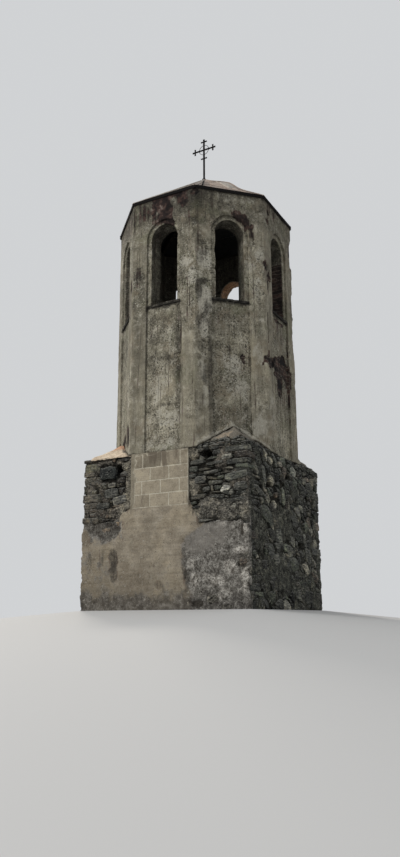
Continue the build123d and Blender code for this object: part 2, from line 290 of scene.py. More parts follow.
class Shade:
    """Nodes of one material. A single number stands for a grey wherever a colour is given."""

    def __init__(self, name, roughness=0.9, specular=0.3):
        self.material = bpy.data.materials.new(name)
        self.material.use_nodes = True
        self.shader = self.material.node_tree.nodes["Principled BSDF"]
        self.shader.inputs["Roughness"].default_value = roughness
        self.shader.inputs["Specular IOR Level"].default_value = specular
        self.place = self.node("TexCoord", out="Object")

    def put(self, value, socket):
        if isinstance(value, Value):
            self.material.node_tree.links.new(value.socket, socket)
        elif hasattr(socket.default_value, "__len__"):
            socket.default_value = (*np.broadcast_to(value, 3), 1.0)[:len(socket.default_value)]
        else:
            socket.default_value = value

    def node(self, kind, inputs=None, out=0, **settings):
        """Adds a node, sets its inputs by name or number and returns one of its outputs."""
        made = self.material.node_tree.nodes.new("ShaderNode" + kind)
        for key, value in settings.items():
            setattr(made, key, value)
        for key, value in (inputs or {}).items():
            self.put(value, made.inputs[key])
        return Value(self, made.outputs[out])

    def stretch(self, scale, place=None):
        return self.node("Mapping", {"Vector": place or self.place, "Scale": scale})

    def noise(self, scale, detail=4.0, rough=0.55, place=None, distortion=0.0):
        return self.node("TexNoise", {"Vector": place or self.place, "Scale": scale, "Detail": detail,
                                      "Roughness": rough, "Distortion": distortion})

    def warp(self, scale, amount, place=None):
        """Place pushed about by noise, for outlines that aren't straight."""
        cloud = self.node("TexNoise", {"Vector": self.place, "Scale": scale}, "Color")
        inputs = {0: cloud, 1: amount, 2: place or self.place}
        return self.node("VectorMath", inputs, operation="MULTIPLY_ADD")

    def band(self, value, low, high, start=0.0, end=1.0):
        """Value mapped from low..high to start..end, held at both ends."""
        inputs = {"Value": value, "From Min": low, "From Max": high, "To Min": start, "To Max": end}
        return self.node("MapRange", inputs, interpolation_type="SMOOTHSTEP")

    def ramp(self, value, *stops):
        """Colour from stops of (position, colour)."""
        made = self.node("ValToRGB", {"Fac": value})
        ends = made.socket.node.color_ramp.elements
        while len(ends) < len(stops):
            ends.new(0.5)
        for end, (position, colour) in zip(ends, stops):
            end.position, end.color = position, (*np.broadcast_to(colour, 3), 1.0)
        return made

    def mix(self, share, a, b, blend="MIX"):
        return self.node("Mix", {0: share, 6: a, 7: b}, 2, data_type="RGBA", blend_type=blend)

    def times(self, colour, other):
        return self.mix(1.0, colour, other, "MULTIPLY")

    def tone(self, colour, value, *stops, share=1.0):
        """Colour multiplied by a ramp."""
        return self.mix(share, colour, self.ramp(value, *stops), "MULTIPLY")

    def cover(self, colour, other, value, low, high, most=1.0):
        """Colour under another one, which comes in as the value goes from low to high."""
        return self.mix(self.band(value, low, high, 0.0, most), colour, other)

    def mark(self, name="marks"):
        """Colour attribute of the mesh, and its four channels."""
        colour = self.node("Attribute", out="Color", attribute_name=name)
        red = self.node("SeparateColor", {0: colour})
        return colour, red, red.other(1), red.other(2), colour.other("Alpha")

    def upright(self, vector):
        return self.node("SeparateXYZ", {0: vector}, 2)

    def normal_up(self):
        return self.upright(self.node("NewGeometry", out="Normal"))

    def finish(self, colour, *bumps, roughness=None):
        """Sets the colour, and bumps of (height, distance in metres)."""
        self.put(colour, self.shader.inputs["Base Color"])
        if roughness is not None:
            self.put(roughness, self.shader.inputs["Roughness"])
        normal = None
        for height, distance in bumps:
            below = {"Normal": normal} if normal else {}
            normal = self.node("Bump", {"Distance": distance, "Height": height, **below})
        if normal:
            self.put(normal, self.shader.inputs["Normal"])
        return self.material


def stone_material():
    """Split schist: each stone's own colour, layered grain, light and dark flecks, dust and painted highlight
    on the ledges.
    """
    s = Shade("rubble_stone", roughness=0.88)
    tint, *_ = s.mark("tint")
    grain = s.noise(9.0, 6.0, 0.68, s.stretch((1.0, 1.0, 3.0)))
    patch, fine = s.noise(3.0, 4.0, 0.6), s.noise(50.0, 5.0, 0.72)
    layers = s.noise(1.0, 5.0, 0.66, s.stretch((3.6, 3.6, 30.0), s.warp(3.0, 0.05)))
    colour = s.tone(tint, grain, (0.36, 0.40), (0.48, 0.93), (0.63, (1.80, 1.77, 1.67)))
    colour = s.tone(colour, layers, (0.39, 0.50), (0.5, 1.0), (0.60, (1.60, 1.58, 1.48)))
    colour = s.tone(colour, patch, (0.37, (0.60, 0.61, 0.58)), (0.5, 1.0), (0.63, (1.36, 1.31, 1.19)))
    colour = s.tone(colour, fine, (0.38, 0.48), (0.56, 1.14))
    colour = s.cover(colour, (0.013, 0.013, 0.012), s.noise(15.0, 3.0, 0.64), 0.44, 0.36, 0.72)
    flecks = s.noise(20.0, 3.0, 0.64, s.stretch((1.0, 1.0, 1.9)))
    colour = s.cover(colour, (0.225, 0.223, 0.200), flecks, 0.565, 0.64, 0.62)
    # Faces that point up are lighter: dust, and a painted highlight where light catches the ledges
    dust_and_highlight = s.band(s.normal_up(), 0.06, 0.55) * s.band(fine, 0.35, 0.6)
    colour = s.mix(dust_and_highlight * 0.66, colour, (0.250, 0.245, 0.218))
    chipped = s.noise(22.0, 9.0, 0.76, s.stretch((1.0, 1.0, 2.4)))
    return s.finish(colour, (chipped, 0.024), (layers, 0.020), (fine, 0.006))


def bed_material():
    """Mortar between the stones, full of small chips of stone."""
    s = Shade("rubble_mortar", roughness=0.97, specular=0.12)
    tint, *_ = s.mark("tint")
    grit, patch = s.noise(34.0, 6.0, 0.76), s.noise(4.5, 8.0, 0.72)
    place = s.stretch((1.0, 1.0, 1.5), s.warp(14.0, 0.055))
    chips = s.node("SeparateColor", {0: s.node("TexVoronoi", {"Vector": place, "Scale": 17.0}, "Color")})
    stones = s.ramp(chips, (0.0, 0.10), (0.30, (0.45, 0.45, 0.43)), (0.62, (1.0, 1.0, 0.96)),
                    (0.85, (1.6, 1.6, 1.55)), (1.0, (2.5, 2.5, 2.45)))
    share = s.band(s.noise(2.6, 5.0, 0.65), 0.40, 0.60, 0.25, 0.85)
    colour = s.mix(share, tint, s.times(tint, stones))
    colour = s.tone(colour, patch, (0.38, (0.36, 0.35, 0.33)), (0.5, 0.95), (0.62, (1.85, 1.78, 1.62)))
    colour = s.tone(colour, grit, (0.39, (0.32, 0.31, 0.30)), (0.5, 1.0), (0.61, (1.60, 1.57, 1.48)))
    flat = s.stretch((1.0, 1.0, 1.8))
    colour = s.cover(colour, s.times(tint, (2.5, 2.5, 2.4)), s.noise(27.0, 3.5, 0.68, flat), 0.56, 0.63, 0.80)
    holes = s.band(s.noise(21.0, 3.5, 0.70, flat), 0.345, 0.43, 0.85, 0.0)
    colour = s.mix(holes, colour, (0.012, 0.011, 0.010))
    return s.finish(colour, (s.noise(18.0, 9.0, 0.78), 0.034), (grit, 0.008), (holes * -1.0, 0.010))


def masonry(s, mottle, sooty_and_shaded):
    """Masonry under the fallen render: dark courses of brick, crumbled, darkened by soot and painted shade.
    """
    wall = s.node("Attribute", out="Vector", attribute_name="wall")
    brick = s.node("TexBrick", {
        "Vector": s.warp(5.0, (0.10, 0.085, 0.0), wall), "Scale": 1.0, "Brick Width": 0.26,
        "Row Height": 0.088, "Mortar Size": 0.009, "Mortar Smooth": 0.5, "Mortar": (0.105, 0.094, 0.080),
        "Color1": (0.062, 0.042, 0.036), "Color2": (0.030, 0.024, 0.022)})
    core = s.tone(brick, mottle, (0.38, (0.14, 0.13, 0.13)), (0.48, (0.75, 0.74, 0.72)),
                  (0.62, (1.9, 1.75, 1.6)))
    return s.cover(core, (0.010, 0.009, 0.009), sooty_and_shaded, 0.55, 1.0, 0.95), brick.other("Fac")


def render_material():
    """Old lime render: pitted, streaked by rain, with stains, bare masonry, pale wash, soot and painted shade
    by its marks.
    """
    s = Shade("weathered_render", roughness=0.93, specular=0.15)
    _, stain, bare, pale, sooty_and_shaded = s.mark()
    tint, _, _, _, pitted = s.mark("tint")
    broad, mottle, speck = s.noise(1.5, 5.0, 0.6), s.noise(5.5, 9.0, 0.72), s.noise(28.0, 6.0, 0.78)
    streak = s.noise(1.0, 7.0, 0.64, s.stretch((6.0, 6.0, 0.45)))
    thin = s.noise(1.0, 6.0, 0.62, s.stretch((24.0, 24.0, 0.9)))
    smooth = s.ramp(mottle, (0.34, (0.150, 0.134, 0.100)), (0.5, (0.206, 0.187, 0.143)),
                    (0.66, (0.262, 0.241, 0.188)))
    rough = s.ramp(mottle, (0.34, (0.080, 0.072, 0.053)), (0.46, (0.172, 0.157, 0.119)),
                   (0.55, (0.242, 0.224, 0.174)), (0.67, (0.375, 0.348, 0.280)))
    colour = s.mix(pitted, smooth, rough)
    for value, low, high in ((broad, 0.82, 1.16), (streak, 0.72, 1.18)):
        colour = s.tone(colour, value, (0.36, low), (0.5, 1.0), (0.64, (high, high, high * 0.98)))
    colour = s.tone(colour, speck, (0.38, (0.46, 0.45, 0.42)), (0.48, 1.0), (0.61, 1.30),
                    share=0.30 + pitted * 0.70)
    colour = s.times(colour, tint)
    colour = s.cover(colour, (0.140, 0.140, 0.088), s.noise(1.3, 4.0, 0.6), 0.52, 0.66, 0.45)
    colour = s.cover(colour, (0.195, 0.158, 0.108), s.noise(2.4, 5.0, 0.6), 0.52, 0.66, 0.40)
    colour = s.cover(colour, (0.066, 0.058, 0.046), thin, 0.58, 0.70, 0.45)
    colour = s.cover(colour, (0.37, 0.350, 0.292), pale * 0.5 + (mottle - 0.5) * 2.0, 0.10, 0.42, 0.70)
    # Dark pits and light grains, two or three centimetres across
    worn = pitted * s.band(s.noise(3.4, 4.0, 0.62), 0.36, 0.56, 0.35, 1.0)
    reach = worn * 0.112 + sooty_and_shaded * 0.035 - 0.050
    pits = s.band(s.noise(27.0, 3.5, 0.70) - reach, 0.325, 0.405, 0.84, 0.0)
    grains = s.noise(33.0, 3.5, 0.68) + ((worn + pale) * 0.095 - 0.040)
    colour = s.cover(colour, (0.44, 0.418, 0.352), grains, 0.595, 0.675, 0.68)
    colour = s.mix(pits, colour, (0.030, 0.027, 0.021))
    # Soot, and painted shade from the marks, darken it towards black
    clouds = s.noise(9.0, 8.0, 0.74) + streak - 1.0
    black = s.ramp(speck, (0.4, (0.019, 0.017, 0.014)), (0.6, (0.064, 0.057, 0.046)))
    colour = s.cover(colour, black, sooty_and_shaded + clouds * 1.6, 0.15, 1.05, 0.90)
    broken = (streak + thin - 1.0) * 2.2 + (mottle - 0.5) * 1.3
    rust = s.ramp(mottle, (0.38, (0.008, 0.006, 0.006)), (0.49, (0.021, 0.014, 0.013)),
                  (0.58, (0.062, 0.037, 0.030)), (0.68, (0.19, 0.155, 0.135)))
    colour = s.cover(colour, rust, stain + broken, 0.22, 0.72, 0.97)
    core, joints = masonry(s, mottle, sooty_and_shaded)
    gone = s.band(bare + (mottle - 0.5) * 1.6, 0.40, 0.50)
    relief = s.noise(18.0, 10.0, 0.74) - gone * (0.4 + joints * 0.4)
    return s.finish(s.mix(gone, colour, core), (relief, 0.024), (speck, 0.008), (pits * -1.0, 0.006))


def coat_material():
    """Foot of the front: beige cement in the middle, grey lime plaster beside it, damp at the ground."""
    s = Shade("front_coat", roughness=0.92, specular=0.15)
    _, lime, dark, damp, rough = s.mark()
    tint, *_ = s.mark("tint")
    mottle, broad, speck = s.noise(4.6, 9.0, 0.70), s.noise(1.7, 5.0, 0.55), s.noise(38.0, 7.0, 0.76)
    level = s.noise(1.0, 5.0, 0.6, s.stretch((1.6, 1.6, 15.0)))
    cement = s.ramp(mottle, (0.34, (0.190, 0.162, 0.123)), (0.46, (0.250, 0.216, 0.165)),
                    (0.56, (0.290, 0.253, 0.195)), (0.68, (0.345, 0.307, 0.245)))
    cement = s.tone(cement, broad, (0.36, (0.84, 0.82, 0.80)), (0.5, 1.0), (0.64, (1.12, 1.10, 1.05)))
    cement = s.tone(cement, level, (0.36, 0.86), (0.5, 1.0), (0.64, 1.09))
    flow = s.noise(1.0, 6.0, 0.62, s.stretch((9.0, 9.0, 0.9)))
    streaks = s.band(flow, 0.50, 0.64, 0.0, 0.75) * s.band(dark + rough, 0.10, 0.4)
    cement = s.mix(streaks, cement, (0.118, 0.082, 0.062))
    chips, flakes = s.noise(19.0, 9.0, 0.80), s.noise(7.5, 9.0, 0.78)
    plaster = s.ramp(flakes, (0.37, (0.052, 0.046, 0.040)), (0.45, (0.112, 0.104, 0.091)),
                     (0.52, (0.192, 0.182, 0.163)), (0.60, (0.310, 0.297, 0.270)),
                     (0.68, (0.46, 0.445, 0.41)))
    plaster = s.tone(plaster, chips, (0.38, (0.45, 0.43, 0.41)), (0.47, (0.90, 0.89, 0.88)),
                     (0.62, (1.40, 1.39, 1.37)))
    plaster = s.times(plaster, tint)
    smooth = s.ramp(mottle, (0.35, (0.128, 0.118, 0.104)), (0.5, (0.184, 0.170, 0.150)),
                    (0.65, (0.245, 0.228, 0.202)))
    smooth = s.cover(smooth, (0.26, 0.235, 0.19), flakes, 0.5, 0.66, 0.35)
    plaster = s.mix(rough, smooth, plaster)
    share = s.band(lime + (mottle * 1.7 + chips * 0.8 - 1.25), 0.25, 0.75)
    colour = s.mix(share, s.times(cement, tint), plaster)
    colour = s.tone(colour, speck, (0.36, (0.70, 0.69, 0.67)), (0.47, 0.99), (0.64, 1.12))
    wet = s.ramp(flakes, (0.38, (0.024, 0.021, 0.019)), (0.50, (0.082, 0.075, 0.067)),
                 (0.64, (0.24, 0.225, 0.20)))
    colour = s.cover(colour, wet, damp + (mottle - 0.5) * 2.6, 0.30, 1.0, 0.78)
    reach = (dark * 0.5 + rough) * -0.066
    flecks = s.band(s.noise(26.0, 3.0, 0.66) - reach, 0.605, 0.665, 0.0, 0.70)
    flecks = flecks * s.band(flakes, 0.44, 0.58, 0.25, 1.0)
    colour = s.mix(flecks, colour, (0.36, 0.345, 0.305))
    colour = s.cover(colour, (0.036, 0.031, 0.026), s.noise(27.0, 3.5, 0.70) + reach, 0.385, 0.315, 0.80)
    # The dark mark, with its painted shade in the holes and along the sunk edge, turns the coat towards black
    black = s.ramp(chips, (0.4, (0.020, 0.017, 0.014)), (0.62, (0.082, 0.073, 0.060)))
    colour = s.cover(colour, black, dark + (s.noise(12.0, 8.0, 0.76) - 0.5) * 1.3, 0.20, 0.90, 0.90)
    return s.finish(colour, (s.noise(14.0, 10.0, 0.74), 0.022), (speck, 0.007))


def block_material():
    """Concrete blocks of the walled-up doorway, stained from above."""
    s = Shade("infill_block", roughness=0.93, specular=0.15)
    tint, *_ = s.mark("tint")
    patch, grit = s.noise(4.5, 8.0, 0.68), s.noise(34.0, 6.0, 0.76)
    colour = s.tone(tint, patch, (0.36, (0.76, 0.74, 0.71)), (0.5, 1.0), (0.64, (1.14, 1.13, 1.10)))
    colour = s.tone(colour, grit, (0.36, (0.66, 0.65, 0.63)), (0.48, 1.0), (0.64, 1.12))
    drip = s.noise(1.0, 6.0, 0.62, s.stretch((5.0, 5.0, 1.1)))
    top = s.band(s.upright(s.place), 2.86, 3.12, 0.0, 0.13)
    colour = s.cover(colour, (0.100, 0.080, 0.060), drip + top, 0.575, 0.70, 0.72)
    colour = s.cover(colour, (0.150, 0.118, 0.088), s.noise(2.2, 5.0, 0.6), 0.56, 0.68, 0.45)
    return s.finish(colour, (patch, 0.012), (grit, 0.007))


def cap_material():
    """Mortar caps of the broaches: pinkish cream, orange at the foot of the shaft, grey lichen, and painted
    shade where they meet the shaft and under their edges.
    """
    s = Shade("broach_mortar", roughness=0.9, specular=0.15)
    _, warm, grey, dark, _ = s.mark()
    mottle, speck = s.noise(5.0, 9.0, 0.72), s.noise(30.0, 7.0, 0.76)
    colour = s.ramp(mottle, (0.34, (0.36, 0.280, 0.200)), (0.5, (0.56, 0.455, 0.335)),
                    (0.66, (0.72, 0.61, 0.47)))
    colour = s.tone(colour, speck, (0.36, (0.66, 0.63, 0.58)), (0.48, 1.0), (0.64, 1.1))
    uneven = (mottle - 0.5) * 1.5
    ashen = s.ramp(speck, (0.38, (0.066, 0.060, 0.050)), (0.6, (0.185, 0.172, 0.145)))
    colour = s.cover(colour, (0.55, 0.290, 0.170), warm + uneven, 0.25, 0.9, 0.80)
    colour = s.cover(colour, ashen, grey + uneven, 0.3, 0.8, 0.92)
    colour = s.cover(colour, (0.115, 0.052, 0.030), uneven, 0.3, 0.9, 0.85)
    # Near black where the dark mark is: painted shade
    colour = s.cover(colour, (0.016, 0.014, 0.012), dark + uneven, 0.30, 0.85, 0.95)
    return s.finish(colour, (s.noise(14.0, 9.0, 0.74), 0.022), (speck, 0.007))


def timber_material(name, pale, dark, along):
    """Weathered timber, with its grain along one axis."""
    s = Shade(name, roughness=0.85, specular=0.2)
    scale = [24.0, 24.0, 24.0]
    scale[along] = 1.6
    grain = s.noise(1.0, 6.0, 0.65, s.stretch(scale), 0.6)
    colour = s.ramp(grain, (0.3, dark), (0.5, pale), (0.75, tuple(1.5 * c for c in pale)))
    return s.finish(s.cover(colour, dark, s.noise(3.0, 5.0, 0.6), 0.5, 0.7, 0.6), (grain, 0.006))


def sheet_material():
    """Old roof sheets: zinc grey to pinkish beige, rusty along their edges, with painted shade making them
    black beneath.
    """
    s = Shade("roof_sheet_metal", roughness=0.62, specular=0.4)
    tint, *_ = s.mark("tint")
    _, rusty, *_ = s.mark()
    cloud, fine = s.noise(3.0, 8.0, 0.7), s.noise(28.0, 7.0, 0.74)
    run = s.noise(1.0, 6.0, 0.6, s.stretch((9.0, 9.0, 1.4)))
    colour = s.tone(tint, cloud, (0.34, (0.66, 0.65, 0.63)), (0.5, 1.0), (0.66, 1.24))
    colour = s.tone(colour, fine, (0.36, (0.72, 0.71, 0.69)), (0.5, 1.0))
    colour = s.cover(colour, (0.13, 0.10, 0.08), run, 0.54, 0.68, 0.5)
    rust = s.ramp(fine, (0.38, (0.065, 0.030, 0.018)), (0.62, (0.20, 0.095, 0.050)))
    colour = s.cover(colour, rust, rusty + (fine - 0.5) * 2.0, 0.40, 0.95, 0.9)
    # Faces that point down are near black: painted shade
    colour = s.cover(colour, (0.016, 0.015, 0.015), s.normal_up(), 0.05, -0.25)
    return s.finish(colour, (cloud, 0.008), (fine, 0.002), roughness=s.band(cloud, 0.36, 0.64, 0.64, 0.86))


def iron_material():
    """Forged iron, black with rust."""
    s = Shade("forged_iron", roughness=0.85, specular=0.12)
    colour = s.ramp(s.noise(30.0, 6.0, 0.7), (0.4, (0.005, 0.005, 0.006)), (0.60, (0.012, 0.010, 0.010)),
                    (0.74, (0.045, 0.024, 0.016)))
    return s.finish(colour, (s.noise(90.0, 5.0, 0.6), 0.002))


def sill_material():
    """Crumbling cement of the window sills, with painted shade on their fronts and undersides."""
    s = Shade("sill_cement", roughness=0.95, specular=0.15)
    colour = s.ramp(s.noise(13.0, 9.0, 0.74), (0.40, (0.012, 0.011, 0.009)), (0.54, (0.032, 0.029, 0.024)),
                    (0.66, (0.150, 0.139, 0.112)))
    # Faces that point sideways or down darken: painted shade
    colour = s.cover(colour, (0.012, 0.011, 0.009), s.normal_up(), 0.3, -0.5, 0.85)
    return s.finish(colour, (s.noise(30.0, 8.0, 0.74), 0.014))


def floor_material():
    """Plain pale floor of the stage."""
    s = Shade("stage_floor", roughness=0.95, specular=0.1)
    away = s.node("VectorMath", {0: s.place}, "Value", operation="LENGTH")
    return s.finish(s.cover((0.56, 0.555, 0.545), 0.90, away, 5.0, 45.0))


# Base: rubble walls

# Upper edge of the coat over the foot of the front: along, height
COAT_EDGE = np.array([
    (-2.01, 1.99), (-1.7, 1.86), (-1.45, 1.8), (-1.22, 1.84), (-1.05, 1.92), (-0.97, 1.98), (-0.84, 2.06),
    (-0.75, 2.1), (0, 2.095), (0.66, 2.09), (0.74, 1.98), (0.84, 1.83), (0.92, 1.71), (1, 1.655),
    (1.24, 1.66), (1.45, 1.7), (1.63, 1.64), (1.8, 1.66), (2.01, 1.58)])
# Missing stones: face, middle along and up, half width, half height, depth
HOLES = [
    (0, -1.36, 2.92, 0.3, 0.2, 0.05), (0, -1.08, 2.98, 0.085, 0.1, 0.22),
    (0, -1.92, 3.09, 0.07, 0.045, 0.15), (0, -1.6, 2.77, 0.1, 0.045, 0.14),
    (0, 1.09, 3.09, 0.1, 0.075, 0.22), (1, -0.9, 2.55, 0.08, 0.06, 0.12), (1, 0.75, 1.4, 0.1, 0.06, 0.12),
    (1, -1.35, 2.42, 0.07, 0.05, 0.1), (1, 0.1, 2.85, 0.08, 0.05, 0.12), (1, 1.25, 2.5, 0.07, 0.06, 0.12),
    (2, -0.6, 2.2, 0.11, 0.08, 0.17), (2, 1.2, 1.1, 0.08, 0.07, 0.15), (3, 0.3, 2.6, 0.1, 0.07, 0.17),
    (3, -1.1, 0.9, 0.09, 0.06, 0.15)]
# Places where mortar is smeared over the stones: face, middle along and up, half width, half height, share
SMEARS = [
    (0, -0.84, 2.34, 0.15, 0.34, 1), (0, -0.82, 2.75, 0.13, 0.34, 1), (0, -0.76, 3.08, 0.1, 0.16, 1),
    (0, -1.81, 2.57, 0.16, 0.22, 0.95), (0, -1.9, 2.2, 0.14, 0.3, 0.8), (0, -1.62, 2.95, 0.12, 0.16, 0.7),
    (0, 0.76, 3.12, 0.14, 0.13, 1), (0, 0.78, 2.42, 0.13, 0.24, 0.9), (0, 1, 1.92, 0.36, 0.22, 0.9),
    (0, 1.62, 1.92, 0.46, 0.28, 0.85), (0, 1.15, 2.06, 0.3, 0.16, 0.85), (0, -1.55, 2.06, 0.55, 0.16, 0.8),
    (0, -1.05, 2.05, 0.2, 0.2, 0.9), (1, -0.75, 0.7, 1.15, 0.62, 0.88), (1, 0.9, 0.55, 0.9, 0.5, 0.8),
    (1, 1.35, 1.45, 0.7, 0.65, 0.78), (1, -1.45, 1.6, 0.5, 0.5, 0.92), (1, -0.2, 1.8, 0.85, 0.42, 0.86),
    (1, -2, 0.9, 0.28, 0.9, 0.9), (1, 1.9, 0.7, 0.2, 0.8, 0.8), (1, -1.95, 1.9, 0.25, 0.3, 0.9),
    (0, 1.86, 1.9, 0.24, 0.26, 0.95), (2, 0.9, 0.5, 1, 0.6, 0.8), (2, -1, 2.4, 0.7, 0.5, 0.7),
    (3, 0.6, 0.8, 1.1, 0.7, 0.75), (3, -1.2, 2.2, 0.6, 0.5, 0.6)]
# Colours of the stones, with how often each comes
STONES = [
    ((0.036, 0.037, 0.034), 0.24), ((0.07, 0.071, 0.063), 0.29), ((0.098, 0.092, 0.076), 0.15),
    ((0.06, 0.066, 0.053), 0.17), ((0.14, 0.136, 0.118), 0.11), ((0.28, 0.27, 0.24), 0.006),
    ((0.112, 0.096, 0.082), 0.034)]
# Stones that stand out: face, middle along and up, half width, half height, tilt in degrees, rise, colour
MARKED = [
    (0, 1.86, 0.9, 0.09, 0.074, 0, -0.004, (0.105, 0.086, 0.072)),
    (0, -1.37, 2.92, 0.215, 0.15, 2, 0.01, (0.015, 0.018, 0.018)),
    (0, -1.25, 2.635, 0.11, 0.055, 6, 0.01, (0.155, 0.145, 0.122)),
    (0, -1.26, 2.46, 0.19, 0.1, 3, 0.018, (0.078, 0.078, 0.072)),
    (0, -1.04, 2.3, 0.19, 0.095, 9, 0.02, (0.13, 0.128, 0.118)),
    (0, -1.66, 2.4, 0.14, 0.075, -3, 0.006, (0.085, 0.082, 0.068)),
    (0, -1.48, 2.2, 0.18, 0.07, 2, 0.008, (0.052, 0.052, 0.046)),
    (0, -1.86, 2.8, 0.12, 0.06, 2, 0.004, (0.07, 0.066, 0.056)),
    (0, 1.54, 2.985, 0.12, 0.055, 4, 0.014, (0.25, 0.245, 0.215)),
    (0, 1.485, 2.34, 0.13, 0.07, 12, 0.018, (0.48, 0.47, 0.42)),
    (0, 1.74, 2.58, 0.26, 0.085, 8, 0.022, (0.105, 0.108, 0.096)),
    (0, 1.83, 2.36, 0.15, 0.085, 4, 0.02, (0.078, 0.078, 0.072)),
    (0, 0.93, 2.56, 0.13, 0.085, 0, 0.008, (0.088, 0.086, 0.078)),
    (0, 1.18, 2.7, 0.18, 0.04, 3, 0.012, (0.105, 0.104, 0.092)),
    (0, 1.3, 2.2, 0.18, 0.04, -4, 0.01, (0.06, 0.06, 0.054)),
    (0, 1.72, 2.1, 0.2, 0.04, 3, 0.008, (0.065, 0.063, 0.056)),
    (0, 1.25, 2.88, 0.2, 0.035, 4, 0.012, (0.09, 0.09, 0.08)),
    (1, -0.87, 3.05, 0.12, 0.075, -20, 0.008, (0.247, 0.237, 0.198)),
    (1, -0.32, 3.07, 0.1, 0.07, 12, 0.01, (0.255, 0.24, 0.207)),
    (1, -0.83, 2.63, 0.12, 0.08, -35, 0.012, (0.285, 0.273, 0.228)),
    (1, -1.08, 2.3, 0.2, 0.055, -38, 0.012, (0.225, 0.21, 0.173)),
    (1, -0.19, 2.39, 0.09, 0.19, 14, 0.01, (0.173, 0.183, 0.144)),
    (1, -0.7, 2.14, 0.09, 0.07, -25, 0.012, (0.367, 0.352, 0.3)),
    (1, -0.58, 2.36, 0.08, 0.06, 20, 0.008, (0.18, 0.144, 0.111)),
    (1, 1.62, 1.51, 0.12, 0.1, 0, 0.01, (0.225, 0.222, 0.189)),
    (1, -0.65, 1.01, 0.15, 0.12, 5, 0.01, (0.15, 0.15, 0.132)),
    (1, 0.27, 1.43, 0.14, 0.1, -20, 0.01, (0.165, 0.165, 0.143)),
    (1, 0.42, 0.73, 0.14, 0.1, 8, 0.008, (0.04, 0.041, 0.037)),
    (1, -1.27, 0.87, 0.12, 0.09, 0, 0.006, (0.036, 0.036, 0.033)),
    (1, -1.6, 2.75, 0.14, 0.06, -48, 0.01, (0.143, 0.138, 0.12)),
    (1, 1.1, 2.9, 0.1, 0.07, 16, 0.01, (0.195, 0.189, 0.159))]
# Outlines of single stones in half widths and heights: one with cut corners, one with a flat bed and a peak
BLOCK = [(1, -0.7), (1, 0.7), (0.7, 1), (-0.7, 1), (-1, 0.7), (-1, -0.7), (-0.7, -1), (0.7, -1)]
PEAK = [(-1.1, -0.9), (0.75, -0.8), (1.15, -0.1), (0.85, 0.55), (0.1, 1.1), (-0.35, 0.75)]
# Loose walling of a face: slope in degrees, stretch, and the sizes of its stones with how often each is tried
LOOSE = {1: (-32, 1.55, ((0.150, 60), (0.105, 300), (0.066, 900), (0.040, 2200))),
         2: (8, 1.75, ((0.11, 160), (0.070, 700), (0.046, 1800))),
         3: (-12, 1.75, ((0.11, 160), (0.070, 700), (0.046, 1800)))}
# Walls that hold the left end, the middle and the right end of each face
WALLS = [("base_front_wall_left", "", "base_front_wall_right"),
         ("base_front_wall_right", "base_right_wall", "base_back_wall"),
         ("base_back_wall", "base_back_wall", "base_back_wall"),
         ("base_back_wall", "base_left_wall", "base_front_wall_left")]
LEFT_WARMTH, CORNER_WARMTH = (1.22, 1.01, 0.92), (1.14, 1.0, 0.93)


def face_place(face, tilt=0.0, lift=0.0):
    """Function that puts (along, up) and an outward distance on a face of the base."""
    up, back = math.cos(tilt), math.sin(tilt)

    def place(q, d):
        q = np.asarray(q, float)
        d = np.broadcast_to(np.asarray(d, float), q.shape[:-1])
        p = np.stack([q[..., 0], q[..., 1] * back - BASE - d * up, lift + q[..., 1] * up + d * back], -1)
        return turned(p, BASE_TURNS[face])
    return place


def clipped(poly, normal, limit):
    """Part of a polygon where normal . p is at most limit."""
    side = [float(p[0] * normal[0] + p[1] * normal[1] - limit) for p in poly]
    if not side or max(side) <= 0:
        return poly
    kept = []
    for i, p in enumerate(poly):
        q, a, b = poly[i - 1], side[i], side[i - 1]
        if (a > 0) != (b > 0):
            t = b / (b - a)
            kept.append((q[0] + (p[0] - q[0]) * t, q[1] + (p[1] - q[1]) * t))
        if a <= 0:
            kept.append((p[0], p[1]))
    return kept


def boxed(poly, low, high):
    """Part of a polygon inside an upright rectangle."""
    for normal, limit in (((-1, 0), -low[0]), ((1, 0), high[0]), ((0, -1), -low[1]), ((0, 1), high[1])):
        poly = clipped(poly, normal, limit)
    return poly


def zone(u, z, corners):
    """Distance into a polygon, below zero outside it."""
    best, inside = np.full(np.shape(u), 9.0), np.zeros(np.shape(u), bool)
    for (ax, az), (bx, bz) in zip(corners, corners[1:] + corners[:1]):
        dx, dz = bx - ax, bz - az
        t = np.clip(((u - ax) * dx + (z - az) * dz) / (dx * dx + dz * dz), 0, 1)
        best = np.minimum(best, np.hypot(u - ax - t * dx, z - az - t * dz))
        inside ^= ((az > z) != (bz > z)) & (u < ax + (z - az) * dx / (dz or 1e-9))
    return np.where(inside, best, -best)


def area(poly):
    """Area of a polygon, counted positive when it runs counter-clockwise."""
    if len(poly) < 3:
        return 0.0
    return 0.5 * sum(poly[i - 1][0] * p[1] - p[0] * poly[i - 1][1] for i, p in enumerate(poly))


def edges_of(poly):
    """Outward direction and limit of each edge of a counter-clockwise polygon."""
    for i, p in enumerate(poly):
        dx, dy = p[0] - poly[i - 1][0], p[1] - poly[i - 1][1]
        length = math.hypot(dx, dy)
        if length > 1e-6:
            n = (dy / length, -dx / length)
            yield n, n[0] * p[0] + n[1] * p[1]


def beside(poly, shape):
    """Polygon cut back from a convex shape, on the side that leaves most of it."""
    inner = poly
    for n, limit in edges_of(shape):
        inner = clipped(inner, n, limit)
        if len(inner) < 3:
            return poly
    return max((clipped(poly, (-n[0], -n[1]), -limit) for n, limit in edges_of(shape)), key=area)


